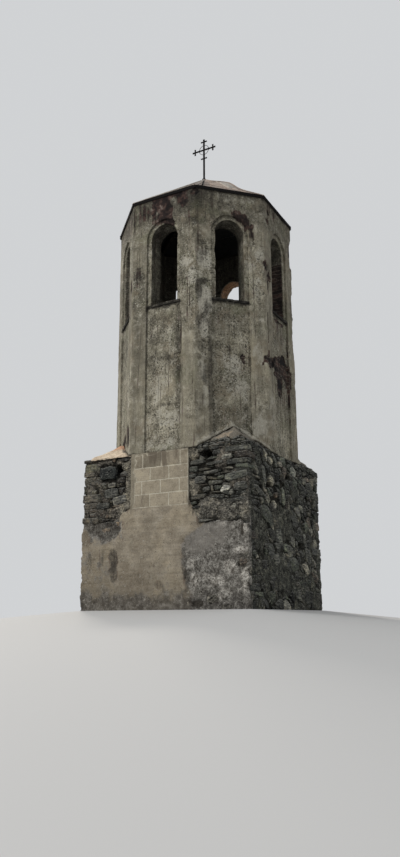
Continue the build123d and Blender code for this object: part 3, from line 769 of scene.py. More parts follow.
def laid(rng, low, high, height, length, sway):
    """Outlines of stones laid in wavy courses that pinch and swell."""
    levels = [low[1]]
    while levels[-1] < high[1] - 0.4 * height:
        levels.append(levels[-1] + height * rng.uniform(0.55, 1.6))
    levels[-1] = high[1]
    shift = rng.uniform(0, 90)

    def line(k, u):
        free = 0 if k in (0, len(levels) - 1) else 1
        wave = noise(np.array([u, k * 3.7 + shift, 0.0]), 0.42, 33, 2)
        return levels[k] + free * sway * height * float(wave)

    found = []
    for k in range(len(levels) - 1):
        u, lean = low[0] - length * rng.random(), 0.0
        while u < high[0]:
            w = length * math.exp(rng.normal(0, 0.5))
            b, after = u + w, rng.uniform(-0.35, 0.35) * height
            mid = u + w * rng.uniform(0.35, 0.65)
            under = [(u - lean, line(k, u)), (mid, line(k, mid)), (b - after, line(k, b))]
            over = [(b + after, line(k + 1, b)), (mid, line(k + 1, mid)), (u + lean, line(k + 1, u))]
            if levels[k + 1] - levels[k] > 1.15 * height and rng.random() < 0.4:
                t = rng.uniform(0.35, 0.65)
                pairs = zip(under, over[::-1])
                cut = [(a[0] + (c[0] - a[0]) * t, a[1] + (c[1] - a[1]) * t) for a, c in pairs]
                found += [under + cut[::-1], cut + over]
            else:
                found.append(under + over)
            u, lean = b, after
    return [boxed(poly, low, high) for poly in found]


def loose(rng, low, high, turn, stretch, sizes):
    """Outlines of stones of very different sizes, longest along one direction, that fill a rectangle."""
    c, s = math.cos(turn), math.sin(turn)
    into = np.array([[c / stretch, -s], [s / stretch, c]])
    back = np.linalg.inv(into)
    q, radius, count = np.zeros((4000, 2)), np.zeros(4000), 0
    for size, tries in sizes:
        for _ in range(tries):
            p = rng.uniform(np.array(low) - 0.1, np.array(high) + 0.1) @ into
            r = size * rng.uniform(0.8, 1.25)
            if count == 0 or (np.hypot(*(q[:count] - p).T) - 0.92 * (radius[:count] + r)).min() > 0:
                q[count], radius[count] = p, r
                count += 1
    q, radius = q[:count], radius[:count]
    corners = ((low[0], low[1]), (high[0], low[1]), (high[0], high[1]), (low[0], high[1]))
    whole = [tuple(np.array(k) @ into) for k in corners]
    found = []
    for i in range(count):
        gap = np.hypot(*(q - q[i]).T) - radius
        poly = whole
        for j in np.argsort(gap):
            if j == i:
                continue
            if gap[j] > 0.35 or len(poly) < 3:
                break
            limit = float(q[j] @ q[j] - q[i] @ q[i] - radius[j] ** 2 + radius[i] ** 2) / 2
            poly = clipped(poly, q[j] - q[i], limit)
        if len(poly) >= 3:
            found.append([tuple(p) for p in np.array(poly) @ back])
    return found


def stone_loop(poly, gap, rng):
    """Uneven outline of a stone in its cell, with its corners knocked off."""
    for n, limit in list(edges_of(poly)):
        poly = clipped(poly, n, limit - gap * rng.uniform(0.3, 0.8))
        if area(poly) < 2.5e-4:
            return None
    loop = np.array(poly)
    for cut in (0.10, 0.20) if rng.random() < 0.4 else (0.11,):
        after = np.roll(loop, -1, 0)
        loop = np.stack([loop + (after - loop) * cut, loop + (after - loop) * (1 - cut)], 1).reshape(-1, 2)
    ring = np.concatenate([loop, loop[:1]])
    run = np.concatenate([[0], np.cumsum(np.linalg.norm(np.diff(ring, axis=0), axis=1))])
    at = np.linspace(0, run[-1], int(np.clip(run[-1] / 0.028, 9, 26)), endpoint=False)
    loop = np.stack([np.interp(at, run, ring[:, k]) for k in (0, 1)], -1)
    half = np.maximum((loop.max(0) - loop.min(0)) / 2, 0.008)
    return loop + rng.normal(0, 0.070, loop.shape) * min(half)


def add_stone(piece, place, loop, rise, rng, tint, slope=0.15, kind=0):
    """Stone with a broken face of a few flat facets, darker towards the joints with painted shade."""
    middle = loop.mean(0)
    half = np.maximum(np.abs(loop - middle).max(0), 0.01)
    facets = [(rng.uniform(0, 0.35) * slope * max(half), rng.normal(0, slope, 2)) for _ in range(4)]

    def front(q):
        return rise + np.min([offset + (q - middle) @ s for offset, s in facets], axis=0)

    edge = min(0.012, 0.34 * min(half))
    # Each ring's second number darkens the stone's sides down into the joint: painted shade
    rings = [(place(loop, front(loop) * 0.5 - 0.09), 0.35), (place(loop, front(loop) - edge * 1.25), 0.60)]
    insets = ((0.25, 0.5, 0.85), (0.8, 0.1, 1.0)) if min(half) > 0.03 else ((0.55, 0.2, 0.95),)
    for inset, drop, shade in insets:
        q = middle + (loop - middle) * (1 - inset * edge / half)
        rings.append((place(q, front(q) - edge * drop), shade))
    for inset, limit in ((0.66, 0.045), (0.33, 0.075)):
        if min(half) > limit:
            q = middle + (loop - middle) * inset
            rings.append((place(q, front(q) + rng.normal(0, 0.0045, len(q))), 1.0))
    n, last = len(loop), (len(rings) - 1) * len(loop)
    rings.append((place(middle[None], front(middle[None])), 1.0))
    faces = quads(len(rings) - 1, n, wrap=True)
    faces += [(last + i, last + (i + 1) % n, last + n) for i in range(n)] + [range(n - 1, -1, -1)]
    tints = np.concatenate([np.full((len(p), 3), shade) * tint for p, shade in rings])
    piece.add(np.concatenate([p for p, _ in rings]), faces, kind, tints)


def pick_tint(rng, dark, spread=0.24):
    """Colour of an ordinary stone."""
    chance = np.array([c for _, c in STONES])
    base = np.array(STONES[rng.choice(len(STONES), p=chance / chance.sum())][0])
    return base * math.exp(rng.normal(0, spread)) * dark


def outline(shape, u, v, half_u, half_v, tilt=0.0):
    """Convex outline of a single stone at a place, tilted by some degrees."""
    c, s = math.cos(math.radians(tilt)), math.sin(math.radians(tilt))
    return [(u + x * half_u * c - y * half_v * s, v + x * half_u * s + y * half_v * c) for x, y in shape]


def quoin_rows():
    """Corner stones: for each corner, rows of bottom, top and reach on the face before and after it."""
    rows = []
    for corner in range(4):
        rng = np.random.default_rng(40 + corner)
        column, z, turn = [], 0.0, corner % 2
        while z < BASE_TOP - 0.05:
            thin = corner == 0 and z > 1.5
            top = min(z + (rng.uniform(0.042, 0.150) if thin else rng.uniform(0.070, 0.21)), BASE_TOP)
            if BASE_TOP - top < 0.06:
                top = BASE_TOP
            long, short = rng.uniform(0.22, 0.58), rng.uniform(0.10, 0.30)
            column.append((z, top, *((long, short) if turn else (short, long))))
            z, turn = top, (1 - turn if rng.random() < 0.8 else turn)
        rows.append(column)
    return rows


QUOINS = quoin_rows()


def quoin_shapes(face):
    """Outlines that the corner stones take up on a face."""
    ends = [(low, high, BASE - before, BASE + 0.1) for low, high, before, _ in QUOINS[face]]
    ends += [(low, high, -BASE - 0.1, after - BASE) for low, high, _, after in QUOINS[face - 1]]
    return [[(a, low), (b, low), (b, high), (a, high)] for low, high, a, b in ends]


def coat_top(x):
    """Height of the coat's upper edge on the front."""
    return np.interp(x, COAT_EDGE[:, 0], COAT_EDGE[:, 1])


def cells_of(rng, face):
    """Outlines of all ordinary stones of a face of the base."""
    if face == 0:
        left = laid(rng, (-BASE, 1.6), (DOOR_LEFT - 0.01, BASE_TOP), 0.100, 0.20, 0.55)
        found = left + laid(rng, (DOOR_RIGHT + 0.01, 1.4), (BASE, BASE_TOP), 0.064, 0.22, 0.85)
    else:
        turn, stretch, sizes = LOOSE[face]
        found = loose(rng, (-BASE, 0.0), (BASE, BASE_TOP), math.radians(turn), stretch, sizes)
    return [poly for poly in found if len(poly) >= 3]


def wall_stones(pieces, face):
    """Stones of one face of the base, each in the piece of the wall that it is part of."""
    rng = np.random.default_rng(100 + face)
    place = face_place(face)
    marked = [row[1:] for row in MARKED if row[0] == face]
    shapes = [outline(PEAK if row[6][0] > 0.4 else BLOCK, *row[:5]) for row in marked]
    fixed = quoin_shapes(face) + [outline(BLOCK, *row[1:5]) for row in HOLES if row[0] == face] + shapes
    found = cells_of(rng, face)
    cover = mortar_cover(place(np.array([np.mean(poly, 0) for poly in found]), 0.0))
    hidden, sunk = (1.0, 0.85, 0.85, 0.85)[face], (0.0, 0.004, 0.006, 0.006)[face]
    spread = 0.56 if face == 1 else 0.38
    for index, poly in enumerate(found):
        for shape in fixed:
            poly = beside(poly, shape)
            if len(poly) < 3 or area(poly) < 6e-4:
                break
        else:
            u, v = np.array(poly).mean(0)
            if face == 0 and v < coat_top(u) + (0.05 if u > 0.9 else -0.16):
                continue
            if cover[index] > 0.80 and rng.random() < hidden:
                continue
            loop = stone_loop(poly, rng.uniform(0.008, 0.028), rng)
            if loop is None:
                continue
            rise = rng.normal(0.002, 0.011) + 0.06 * (math.sqrt(area(poly)) - 0.12) - sunk
            if face == 0 and v < coat_top(u) + 0.05:
                rise -= 0.010
            rise = float(np.clip(rise, -0.030, 0.026))
            left = face == 0 and u < 0
            dark = 1.0 if left else 0.90 if face == 0 else 0.95
            tint = pick_tint(rng, dark, spread) * (LEFT_WARMTH if left else 1.0)
            add_stone(wall_of(pieces, face, u), place, loop, rise, rng, tint, 0.20)
    for row, shape in zip(marked, shapes):
        loop = stone_loop(shape, 0.012, rng)
        add_stone(wall_of(pieces, face, row[0]), place, loop, row[5], rng, row[6], slope=0.07)


def wall_of(pieces, face, u):
    """Piece of the base wall that holds a place on a face."""
    left, middle, right = WALLS[face]
    if face == 0:
        return pieces[left if u < 0 else right]
    return pieces[left if u < -BASE_INNER else middle if u < BASE_INNER else right]


def add_quoins(pieces):
    """Rough corner stones that show on two faces."""
    for corner in range(4):
        rng = np.random.default_rng(60 + corner)
        for low, high, before, after in QUOINS[corner]:
            height, middle = high - low, (low + high) / 2
            gap = rng.uniform(0.006, 0.018)
            half = np.array([before, after, height - gap]) / 2
            p, faces = rounded_box(half, min(rng.uniform(0.010, 0.026), 0.38 * height), 0.06)
            lumps = noise(p + rng.uniform(0, 50, 3), 0.13, 5, 3)
            p = p * (1 + 0.10 * lumps[:, None]) + rng.normal(0, 0.0035, p.shape)
            tip = rng.normal(0, 0.035, 2)
            p[:, 2] += p[:, 0] * tip[0] + p[:, 1] * tip[1]
            place = turned([[BASE, -BASE, middle]], BASE_TURNS[corner])
            out = rng.uniform(-0.016, 0.010) - 0.020 * float(mortar_cover(place)[0])
            p += (BASE + out - half[0], -BASE - out + half[1], middle)
            # Stones of the two front corners lie back where the coat covers them
            if corner == 0 and high < 1.66:
                p[:, 1] += 0.03
            if corner == 3 and high < 1.9:
                p[:, 0] -= 0.03
            tint = pick_tint(rng, 0.80 if corner == 0 else 0.95, 0.40)
            if corner == 3:
                tint = tint * CORNER_WARMTH
            pieces[WALLS[corner][2]].add(turned(p, BASE_TURNS[corner]), faces, 0, tint)


def wall_blots(p, rows, uneven, low):
    """For each listed place of the base, its share at the points, times its last number."""
    for face, u, v, a, b, much in rows:
        q = turned(p, -BASE_TURNS[face])
        r = np.hypot((q[:, 0] - u) / a, (q[:, 2] - v) / b) + uneven
        yield np.where(q[:, 1] < -BASE + 0.01, much * fall(r, low, 1.15), 0)


def mortar_cover(p):
    """Share, from 0 to 1, in which mortar hides the stones."""
    cover = 0.85 * step(noise(p, 0.50, 9, 3), 0.08, 0.50)
    for blot in wall_blots(p, SMEARS, 0.38 * noise(p, 0.20, 8, 3), 0.65):
        cover = np.maximum(cover, blot)
    return cover


def bed_depth(p):
    """How far the mortar bed lies behind the face of the base."""
    front = p[:, 1] < -BASE + 0.01
    deep = np.where(front, 0.056, 0.052) + 0.018 * noise(p, 0.20, 3) + 0.008 * noise(p, 0.05, 4)
    fine = np.where(front, 0.009, 0.013) * noise(p, 0.05, 7, 2)
    flush = np.where(front, 0.003, 0.007) + 0.012 * noise(p, 0.14, 6) + fine
    depth = deep + (flush - deep) * mortar_cover(p)
    for blot in wall_blots(p, HOLES, 0.25 * noise(p, 0.08, 8), 0.75):
        depth = depth + blot
    return depth


def bed_tint(p):
    """Colour of the bed: near black deep in the joints as painted shade, mortar where it is flush, paler
    beside the doorway.
    """
    # The deeper the bed lies, the nearer black: painted shade
    share = fall(bed_depth(p), 0.004, 0.048)[:, None]
    front = (p[:, 1] < -BASE + 0.1)[:, None]
    pale = front * fall(np.abs(p[:, 0] + 0.05), 0.86, 1.06)[:, None]
    low = front & (p[:, 0] > 0.7)[:, None] & (p[:, 2] < 2.25)[:, None]
    mortar = np.where(front, (0.112, 0.102, 0.089), (0.078, 0.079, 0.069))
    mortar = np.where(low, (0.126, 0.119, 0.106), mortar)
    mortar = mortar * (1 - pale) + np.array((0.156, 0.144, 0.121)) * pale
    return np.array((0.022, 0.021, 0.018)) * (1 - share) + mortar * share


def outer_skin(path, pitch):
    """Points along a plan path, with the outward direction at each. The inside is on the left."""
    path = [np.array(p, float) for p in path]
    normals = []
    for a, b in zip(path, path[1:]):
        d = (b - a) / np.linalg.norm(b - a)
        normals.append(np.array([d[1], -d[0]]))
    points, outs = [], []
    for k, (a, b) in enumerate(zip(path, path[1:])):
        count = max(1, math.ceil(np.linalg.norm(b - a) / pitch))
        for i in range(count):
            points.append(a + (b - a) * i / count)
            n = normals[k]
            if i == 0 and k > 0:
                n = (n + normals[k - 1]) / (1 + n @ normals[k - 1])
            outs.append(n)
    return np.array(points + [path[-1]]), np.array(outs + [normals[-1]])


def wall_block(piece, path, back, depth, tint, kind=1, pitch=0.027):
    """Closed wall: an uneven outer skin along a path, and a flat back through the corners of back."""
    flat, out = outer_skin(path, pitch)
    rows = np.linspace(0.0, BASE_TOP, math.ceil(BASE_TOP / pitch) + 1)
    m, n = len(rows), len(flat)
    p = np.empty((m, n, 3))
    p[..., :2] = flat
    p[..., 2] = rows[:, None]
    tints = tint(p.reshape(-1, 3))
    p[..., :2] -= out[None] * depth(p.reshape(-1, 3)).reshape(m, n)[..., None]
    start = piece.add(p, quads(m, n), kind, tints)
    corners = piece.add([(x, y, z) for z in (0.0, BASE_TOP) for x, y in back] or np.empty((0, 3)), [],
                        kind, (0.05, 0.045, 0.04))
    under = [corners + i for i in range(len(back))]
    over = [len(back) + i for i in under]
    piece.close([start + i for i in range(n)][::-1] + under[::-1], kind)
    piece.close([start + (m - 1) * n + i for i in range(n)] + over, kind)
    first, last = ([start + column + n * r for r in range(m)] for column in (0, n - 1))
    ends = [last] + [[a, b] for a, b in zip(under, over)] + [first]
    for a, b in zip(ends, ends[1:]):
        piece.close(a + b[::-1], kind)


def rubble_base(materials):
    """The four walls of the base, with their mortar bed, stones and corner stones."""
    o, i = BASE, BASE_INNER
    walls = {
        "base_front_wall_left": ([(-o, -i), (-o, -o), (DOOR_LEFT, -o)], [(DOOR_LEFT, -i)]),
        "base_front_wall_right": ([(DOOR_RIGHT, -o), (o, -o), (o, -i)], [(DOOR_RIGHT, -i)]),
        "base_right_wall": ([(o, -i), (o, i)], [(i, i), (i, -i)]),
        "base_back_wall": ([(o, i), (o, o), (-o, o), (-o, i)], []),
        "base_left_wall": ([(-o, i), (-o, -i)], [(-i, -i), (-i, i)])}
    pieces = {name: Piece() for name in walls}
    for name, (path, back) in walls.items():
        wall_block(pieces[name], path, back, bed_depth, bed_tint)
    for face in range(4):
        wall_stones(pieces, face)
    add_quoins(pieces)
    for name, piece in pieces.items():
        piece.make("rubble_" + name[5:], materials, "rubble", [name])


def infill_skin(p):
    """Depth of the joints between the blocks, and of the mortar smeared over their left and top ends."""
    smear = fall(p[:, 0] + 0.655 + 0.05 * noise(p, 0.16, 24), -0.02, 0.03)
    top = step(p[:, 2] + 0.05 * noise(p, 0.14, 25), BASE_TOP - 0.055, BASE_TOP - 0.01)
    return 0.0035 + 0.002 * noise(p, 0.08, 26) - 0.011 * np.maximum(smear, 0.8 * top)


def infill_tint(p):
    """Pale joints, and grey-brown mortar where it is smeared."""
    share = fall(infill_skin(p), -0.004, 0.002)[:, None]
    return np.array((0.44, 0.405, 0.325)) * (1 - share) + np.array((0.22, 0.195, 0.148)) * share


def infill(material):
    """Blocks that close the doorway, in light mortar."""
    piece = Piece()
    front = [(DOOR_LEFT, -BASE), (DOOR_RIGHT, -BASE)]
    back = [(DOOR_RIGHT, INFILL_BACK), (DOOR_LEFT, INFILL_BACK)]
    wall_block(piece, front, back, infill_skin, infill_tint, kind=0, pitch=0.04)
    rng = np.random.default_rng(7)
    joints = [BASE_TOP, 2.929, 2.650, 2.367, 2.095, 1.82]
    starts = [-0.459, -0.271, -0.479, -0.275, -0.47]
    for top, bottom, first in zip(joints, joints[1:], starts):
        cuts = [DOOR_LEFT] + [first + 0.460 * k for k in range(4)] + [DOOR_RIGHT]
        cuts = sorted({min(max(c, DOOR_LEFT), DOOR_RIGHT) for c in cuts})
        for left, right in zip(cuts, cuts[1:]):
            if right - left < 0.04:
                continue
            gap = rng.uniform(0.018, 0.023)
            half = np.array([right - left - gap, 0.05, top - bottom - gap]) / 2
            p, faces = rounded_box(half, 0.006, 0.07)
            p += 0.0012 * rng.normal(0, 1, p.shape)
            p += ((left + right) / 2, -BASE + 0.024 + rng.uniform(0.0, 0.003), (top + bottom) / 2)
            shade = np.array((0.310, 0.270, 0.204)) * rng.uniform(0.86, 1.07)
            if top == BASE_TOP:
                shade = shade * (0.82 * 0.72 if left < -0.2 < right else 0.82)
            piece.add(p, faces, 0, shade)
    piece.make("infill_blocks", [material], "block_infill", ["doorway_infill"])


# Front coat

# Plaster rubbed smooth beside the doorway, and dark mortar laid bare on the left: along, height
SMOOTH_AREA = [
    (0.46, 1.42), (1.02, 1.72), (1.3, 1.66), (1.66, 1.56), (1.5, 1.34), (0.98, 1.04), (0.6, 1.14)]
BARED_AREA = [
    (-2.1, 2.2), (-0.87, 2.2), (-0.89, 2.03), (-1.02, 1.56), (-1.16, 1.44), (-1.36, 1.37), (-1.5, 1.46),
    (-1.63, 1.5), (-1.92, 1.62), (-2.1, 1.7)]
# Left edge of the lime plaster beside the doorway: height, along
LIME_EDGE = ((0, 0.7), (0.49, 0.62), (0.97, 0.51), (1.38, 0.48), (1.55, 0.75), (1.68, 1), (1.91, 0.86),
             (2.12, 0.7))
# Holes, patches of fresh lime, and stains: middle along and up, half width, half height, depth or strength
COAT_HOLES = [
    (1.86, 0.9, 0.145, 0.13, 0.034), (1.18, 0.22, 0.16, 0.1, 0.026), (0.84, 0.11, 0.13, 0.07, 0.04),
    (1.46, 0.06, 0.12, 0.04, 0.034), (1.77, 0.2, 0.14, 0.05, 0.016), (1.05, 0.46, 0.08, 0.04, 0.014),
    (0.97, 0.8, 0.09, 0.04, 0.014), (1.47, 0.9, 0.05, 0.03, 0.014), (1.85, 1.52, 0.04, 0.12, 0.024),
    (1.87, 1.25, 0.03, 0.06, 0.018), (1.62, 0.55, 0.06, 0.08, 0.01), (1.35, 0.62, 0.06, 0.03, 0.012),
    (-1.95, 0.12, 0.08, 0.1, 0.03)]
COAT_LIME = [
    (1.4, 1.62, 0.1, 0.06, 1), (1.92, 1.55, 0.05, 0.12, 1), (1.8, 1.12, 0.14, 0.07, 1),
    (1.3, 0.55, 0.16, 0.1, 0.8), (1.58, 0.8, 0.16, 0.12, 0.8), (1.9, 0.55, 0.08, 0.26, 0.9),
    (0.8, 0.55, 0.1, 0.14, 0.7), (1.05, 0.62, 0.12, 0.07, 0.6), (0.72, 0.88, 0.08, 0.1, 0.6),
    (1.45, 0.28, 0.16, 0.1, 0.7)]
COAT_STAINS = [
    (-1.15, 1.05, 0.115, 0.24, 0.74), (-1.14, 0.76, 0.1, 0.2, 0.66), (-1.43, 1.24, 0.045, 0.18, 0.34),
    (-1.46, 0.92, 0.05, 0.2, 0.22), (-1.58, 1.08, 0.24, 0.2, 0.3), (-1.8, 0.95, 0.08, 0.3, 0.3),
    (1.85, 1.56, 0.04, 0.14, 0.5), (0.56, 0.98, 0.07, 0.38, 0.55), (0.64, 0.55, 0.07, 0.27, 0.55),
    (0.3, 1.65, 0.1, 0.3, 0.18), (-0.45, 0.45, 0.5, 0.25, 0.18), (-0.04, 0.49, 0.12, 0.09, 0.32),
    (-0.13, 0.9, 0.09, 0.06, 0.3), (0.9, 1.8, 0.05, 0.24, 0.5), (0.76, 1.98, 0.03, 0.16, 0.6),
    (1.3, 1.86, 0.4, 0.06, 0.4)]


def blots(u, z, rows, uneven, soft=0.30):
    """Sum of soft-edged blots."""
    total = np.zeros_like(z)
    for a, b, ra, rb, much in rows:
        total += much * fall(np.hypot((u - a) / ra, (z - b) / rb) + 0.35 * uneven, 1 - soft, 1 + soft)
    return total


def front_coat(material):
    """Coat over the foot of the front: smooth cement in the middle, lumpy lime plaster beside it."""
    piece = Piece()
    cols, rows = 183, 96
    x = np.linspace(-2.004, 2.004, cols)
    line = np.stack([x, x * 0, x * 0], -1)
    door = step(x, DOOR_LEFT - 0.04, DOOR_LEFT + 0.04) * fall(x, DOOR_RIGHT - 0.02, DOOR_RIGHT + 0.04)
    edge = coat_top(x) + (0.05 + 0.07 * (x < -0.9)) * noise(line, 0.16, 12, 4)
    edge = edge * (1 - door) + door * (2.09 + 0.012 * noise(line, 0.09, 13, 2))
    z = np.linspace(0, 1, rows)[:, None] * (edge + 0.17 - 0.13 * door)
    u = np.broadcast_to(x, z.shape)
    p = np.stack([u, np.full_like(z, -BASE), z], -1)
    uneven, fine = noise(p, 0.16, 21, 3), noise(p, 0.05, 20, 2)
    # Shares of lime plaster, of its smooth part, of bared mortar, and of the lumpy strip at the left
    side = np.interp(z, *np.transpose(LIME_EDGE))
    lime = step(u - side - 0.12 * noise(p, 0.30, 13, 4), -0.16, 0.18)
    smooth = step(zone(u, z, SMOOTH_AREA) + 0.14 * uneven, -0.10, 0.16)
    bared = step(zone(u, z, BARED_AREA) + 0.18 * uneven, -0.10, 0.14)
    left = 0.30 * step(-u - 1.15 - 0.10 * noise(p, 0.4, 14), -0.15, 0.25) * (1 - bared)
    rough = np.maximum(lime * (1 - smooth), bared)
    over = z - edge
    fade = step(over + 0.05 * noise(p, 0.09, 22, 2), -0.10, 0.16) * (1 - door)
    fade += step(over, -0.02, 0.03) * door
    deep = blots(u, z, COAT_HOLES, uneven * 1.4 + fine, 0.5)
    fresh = blots(u, z, COAT_LIME, uneven, 0.4)
    thick = 0.009 + 0.0035 * noise(p, 0.45, 15) + 0.0012 * fine
    thick += rough * (0.013 * noise(p, 0.12, 17) - 0.004 + 0.006 * fine)
    thick += left * (0.006 * noise(p, 0.12, 19) + 0.003 * fine)
    thick += bared * (0.026 * noise(p, 0.10, 16, 3) - 0.012) + 0.006 * fresh
    thick -= deep + fade * (0.085 - 0.055 * door)
    thick -= 0.012 * fall((2.01 - np.abs(u)) / 0.03 + 0.5 * fine, 0.0, 1.0) * (0.5 + uneven)
    p[..., 1] -= thick
    bite = np.clip(noise(p, 0.13, 25, 3) + 0.20, 0, 1) * step(np.abs(u), 1.90, 2.0)
    p[..., 0] -= np.sign(u) * 0.050 * bite
    # Holes darker the deeper they go, and the sunk top edge darker: painted shade. The stains and the bared
    # mortar are their own colour
    dark = deep * 24 + blots(u, z, COAT_STAINS, uneven) + 0.62 * bared
    dark += 0.35 * fade * (1 - door) - 0.35 * fresh
    damp = 1.15 * fall(z + 0.12 * uneven, 0.02, 0.52) + 0.22 * fall(z, 0.4, 1.3) * (1 - lime)
    damp += 0.25 * step(-u, 1.0, 1.4)
    marks = [np.clip(lime + left + bared, 0, 1), np.clip(dark, 0, 1), damp, np.clip(rough + 0.5 * left, 0, 1)]
    level = 1.0 - 0.10 * fall(z, 0.5, 1.2) - 0.13 * step(-u + 0.1 * uneven, 0.95, 1.35)
    tint = (level * (1 - lime) + (0.92 + fresh) * lime)[..., None] * np.ones(3)
    start = piece.add(p, quads(rows, cols), 0, tint.reshape(-1, 3), np.stack(marks, -1).reshape(-1, 4))
    r, c = np.array(rim_of(rows, cols)).T
    back = p[r, c]
    back[:, 1] = -BASE + 0.095 + 0.025 * noise(back, 0.12, 23)
    ring = piece.add(back, [], 0, (1, 1, 1), (0.9, 0.2, 0, 0.8)) + np.arange(len(r))
    piece.skirt(start + r * cols + c, ring)
    piece.close(ring[::-1])
    piece.make("front_coat", [material], "cement_coat", ["front_render_coat"])


# Broaches


def broach_rise(near, flare):
    """Height of a broach over the base at a distance from its nearer outer edge."""
    t = np.clip(near / BROACH, 0, 1)
    return BROACH_RISE * (t * (1 - flare) + flare * (0.34 * t + 0.66 * t ** 3.4))


def broach(corner, materials, stony):
    """Sloped cap of a corner of the base: smooth mortar, or stones with a mortar head."""
    piece = Piece()
    rows, cols = 34, 49
    first = 0.055 if stony else -0.026
    s = np.linspace(0.02, 1.0, rows)[:, None]
    t = np.linspace(-1, 1, cols)[None]
    reach = BROACH + 0.014 - first
    # Distances from the two outer edges of the corner, and from the shaft
    du, dv = first + s * reach * (1 + t), first + s * reach * (1 - t)
    near = np.minimum(du, dv)
    gap = math.sqrt(2) * (BROACH - (du + dv) / 2)
    p = np.stack([BASE - du, -BASE + dv, np.zeros_like(du)], -1)
    uneven, fine = noise(p, 0.16, 22 + corner), noise(p, 0.05, 27)
    join = fall(gap + 0.020 * uneven, 0.040, 0.100)
    if stony:
        rise = broach_rise(near, 0.0) + 0.016 * uneven + 0.003 * fine + 0.008
        cap = step(rise + 0.06 * uneven, 0.15, 0.22)
        rise -= 0.055 * (1 - cap)
        band = fall(np.abs(gap - 0.17 + 0.04 * uneven), 0.04, 0.09) * step(t, -0.25, 0.15)
        warm, grey = np.zeros_like(du), 0.95 - 0.30 * band
    else:
        rise = SMOOTH_BROACH * broach_rise(near, 0.34) + 0.009 * uneven + 0.003 * fine + 0.008
        cap = np.ones_like(rise)
        rise -= 0.026 * fall(near + 0.020 * fine, -0.022, 0.016)
        warm = 0.95 * step(near, 0.50 * BROACH, 0.85 * BROACH) + 0.30 * step(np.abs(t), 0.75, 1.0)
        grey, join = 0.30 * fall(near, 0.0, 0.05), 0.6 * join
    p[..., 2] = BASE_TOP + rise - 0.022 * fall(gap, 0.0, 0.05)
    if corner == 3:
        tip = fall(np.hypot(du, dv) + 0.05 * uneven + 0.02 * fine, 0.17, 0.22)
        p += tip[..., None] * np.array((-0.10, 0.10, -0.090))
    # Third mark: painted shade where the cap meets the shaft and where its mortar sinks among the stones
    marks = np.stack([warm, grey, 0.95 * join + 0.5 * (1 - cap), np.zeros_like(du)], -1).reshape(-1, 4)
    grid = quads(rows, cols)
    # The dark tint makes the mortar sunk among the stones near black: painted shade
    start = piece.add(turned(p, BASE_TURNS[corner]), grid, 0, (0.030, 0.027, 0.022), marks)
    piece.kinds = [2 if cap.reshape(-1)[face].mean() < 0.5 else 0 for face in grid]
    r, c = np.array(rim_of(rows, cols)).T
    low = p[r, c]
    foot = BASE_TOP + (0.012 * fine - 0.02 if stony else 0.026 * fine - 0.050)[r, c]
    low[:, 2] = np.minimum(foot, low[:, 2] - 0.02)
    # The cap's edge underneath is marked dark: painted shade under its overhang
    under = piece.add(turned(low, BASE_TURNS[corner]), [], 0, (0.030, 0.026, 0.021), (0, 0.6, 0.9, 0))
    under = under + np.arange(len(r))
    piece.skirt(start + r * cols + c, under)
    piece.close(under)
    if stony:
        broach_stones(piece, corner)
    name = CORNER_NAMES[corner]
    piece.make("broach_" + name + "_cap", materials, "mortar_cap", ["broach_" + name])


def broach_stones(piece, corner):
    """Flat stones on the two slopes of a broach, under its mortar head."""
    rng = np.random.default_rng(80 + corner)
    tilt, length = math.atan2(BROACH, BROACH_RISE), math.hypot(BROACH, BROACH_RISE)
    lean = math.hypot(1, BROACH / length)
    for face, flip in ((corner, 1), ((corner + 1) % 4, -1)):
        place = face_place(face, tilt, BASE_TOP)
        for poly in laid(rng, (CORNER, -0.03), (BASE, length), 0.060, 0.17, 0.5):
            poly = clipped(poly, (1 / lean, BROACH / length / lean), BASE / lean)
            poly = clipped(poly, (-1 / lean, BROACH / length / lean), -CORNER / lean)
            if area(poly) < 8e-4:
                continue
            poly = poly if flip > 0 else [(-x, y) for x, y in poly][::-1]
            loop = stone_loop(poly, 0.018, rng)
            if loop is not None and loop[:, 1].mean() < length * rng.uniform(0.28, 0.50):
                add_stone(piece, place, loop, rng.uniform(-0.010, 0.014), rng, pick_tint(rng, 0.8), kind=1)


# Shaft

FOOT_ROWS = np.concatenate([np.linspace(BASE_TOP, 3.88, 26), np.linspace(3.88, LEDGE_TOP, 43)[1:]])
PANEL_ROWS = np.linspace(LEDGE_TOP, SILL_LOW, 27)
OPEN_ROWS = np.linspace(SILL, SPRING, 41)
HEAD_ROWS = np.linspace(SPRING, SHAFT_TOP, 28)
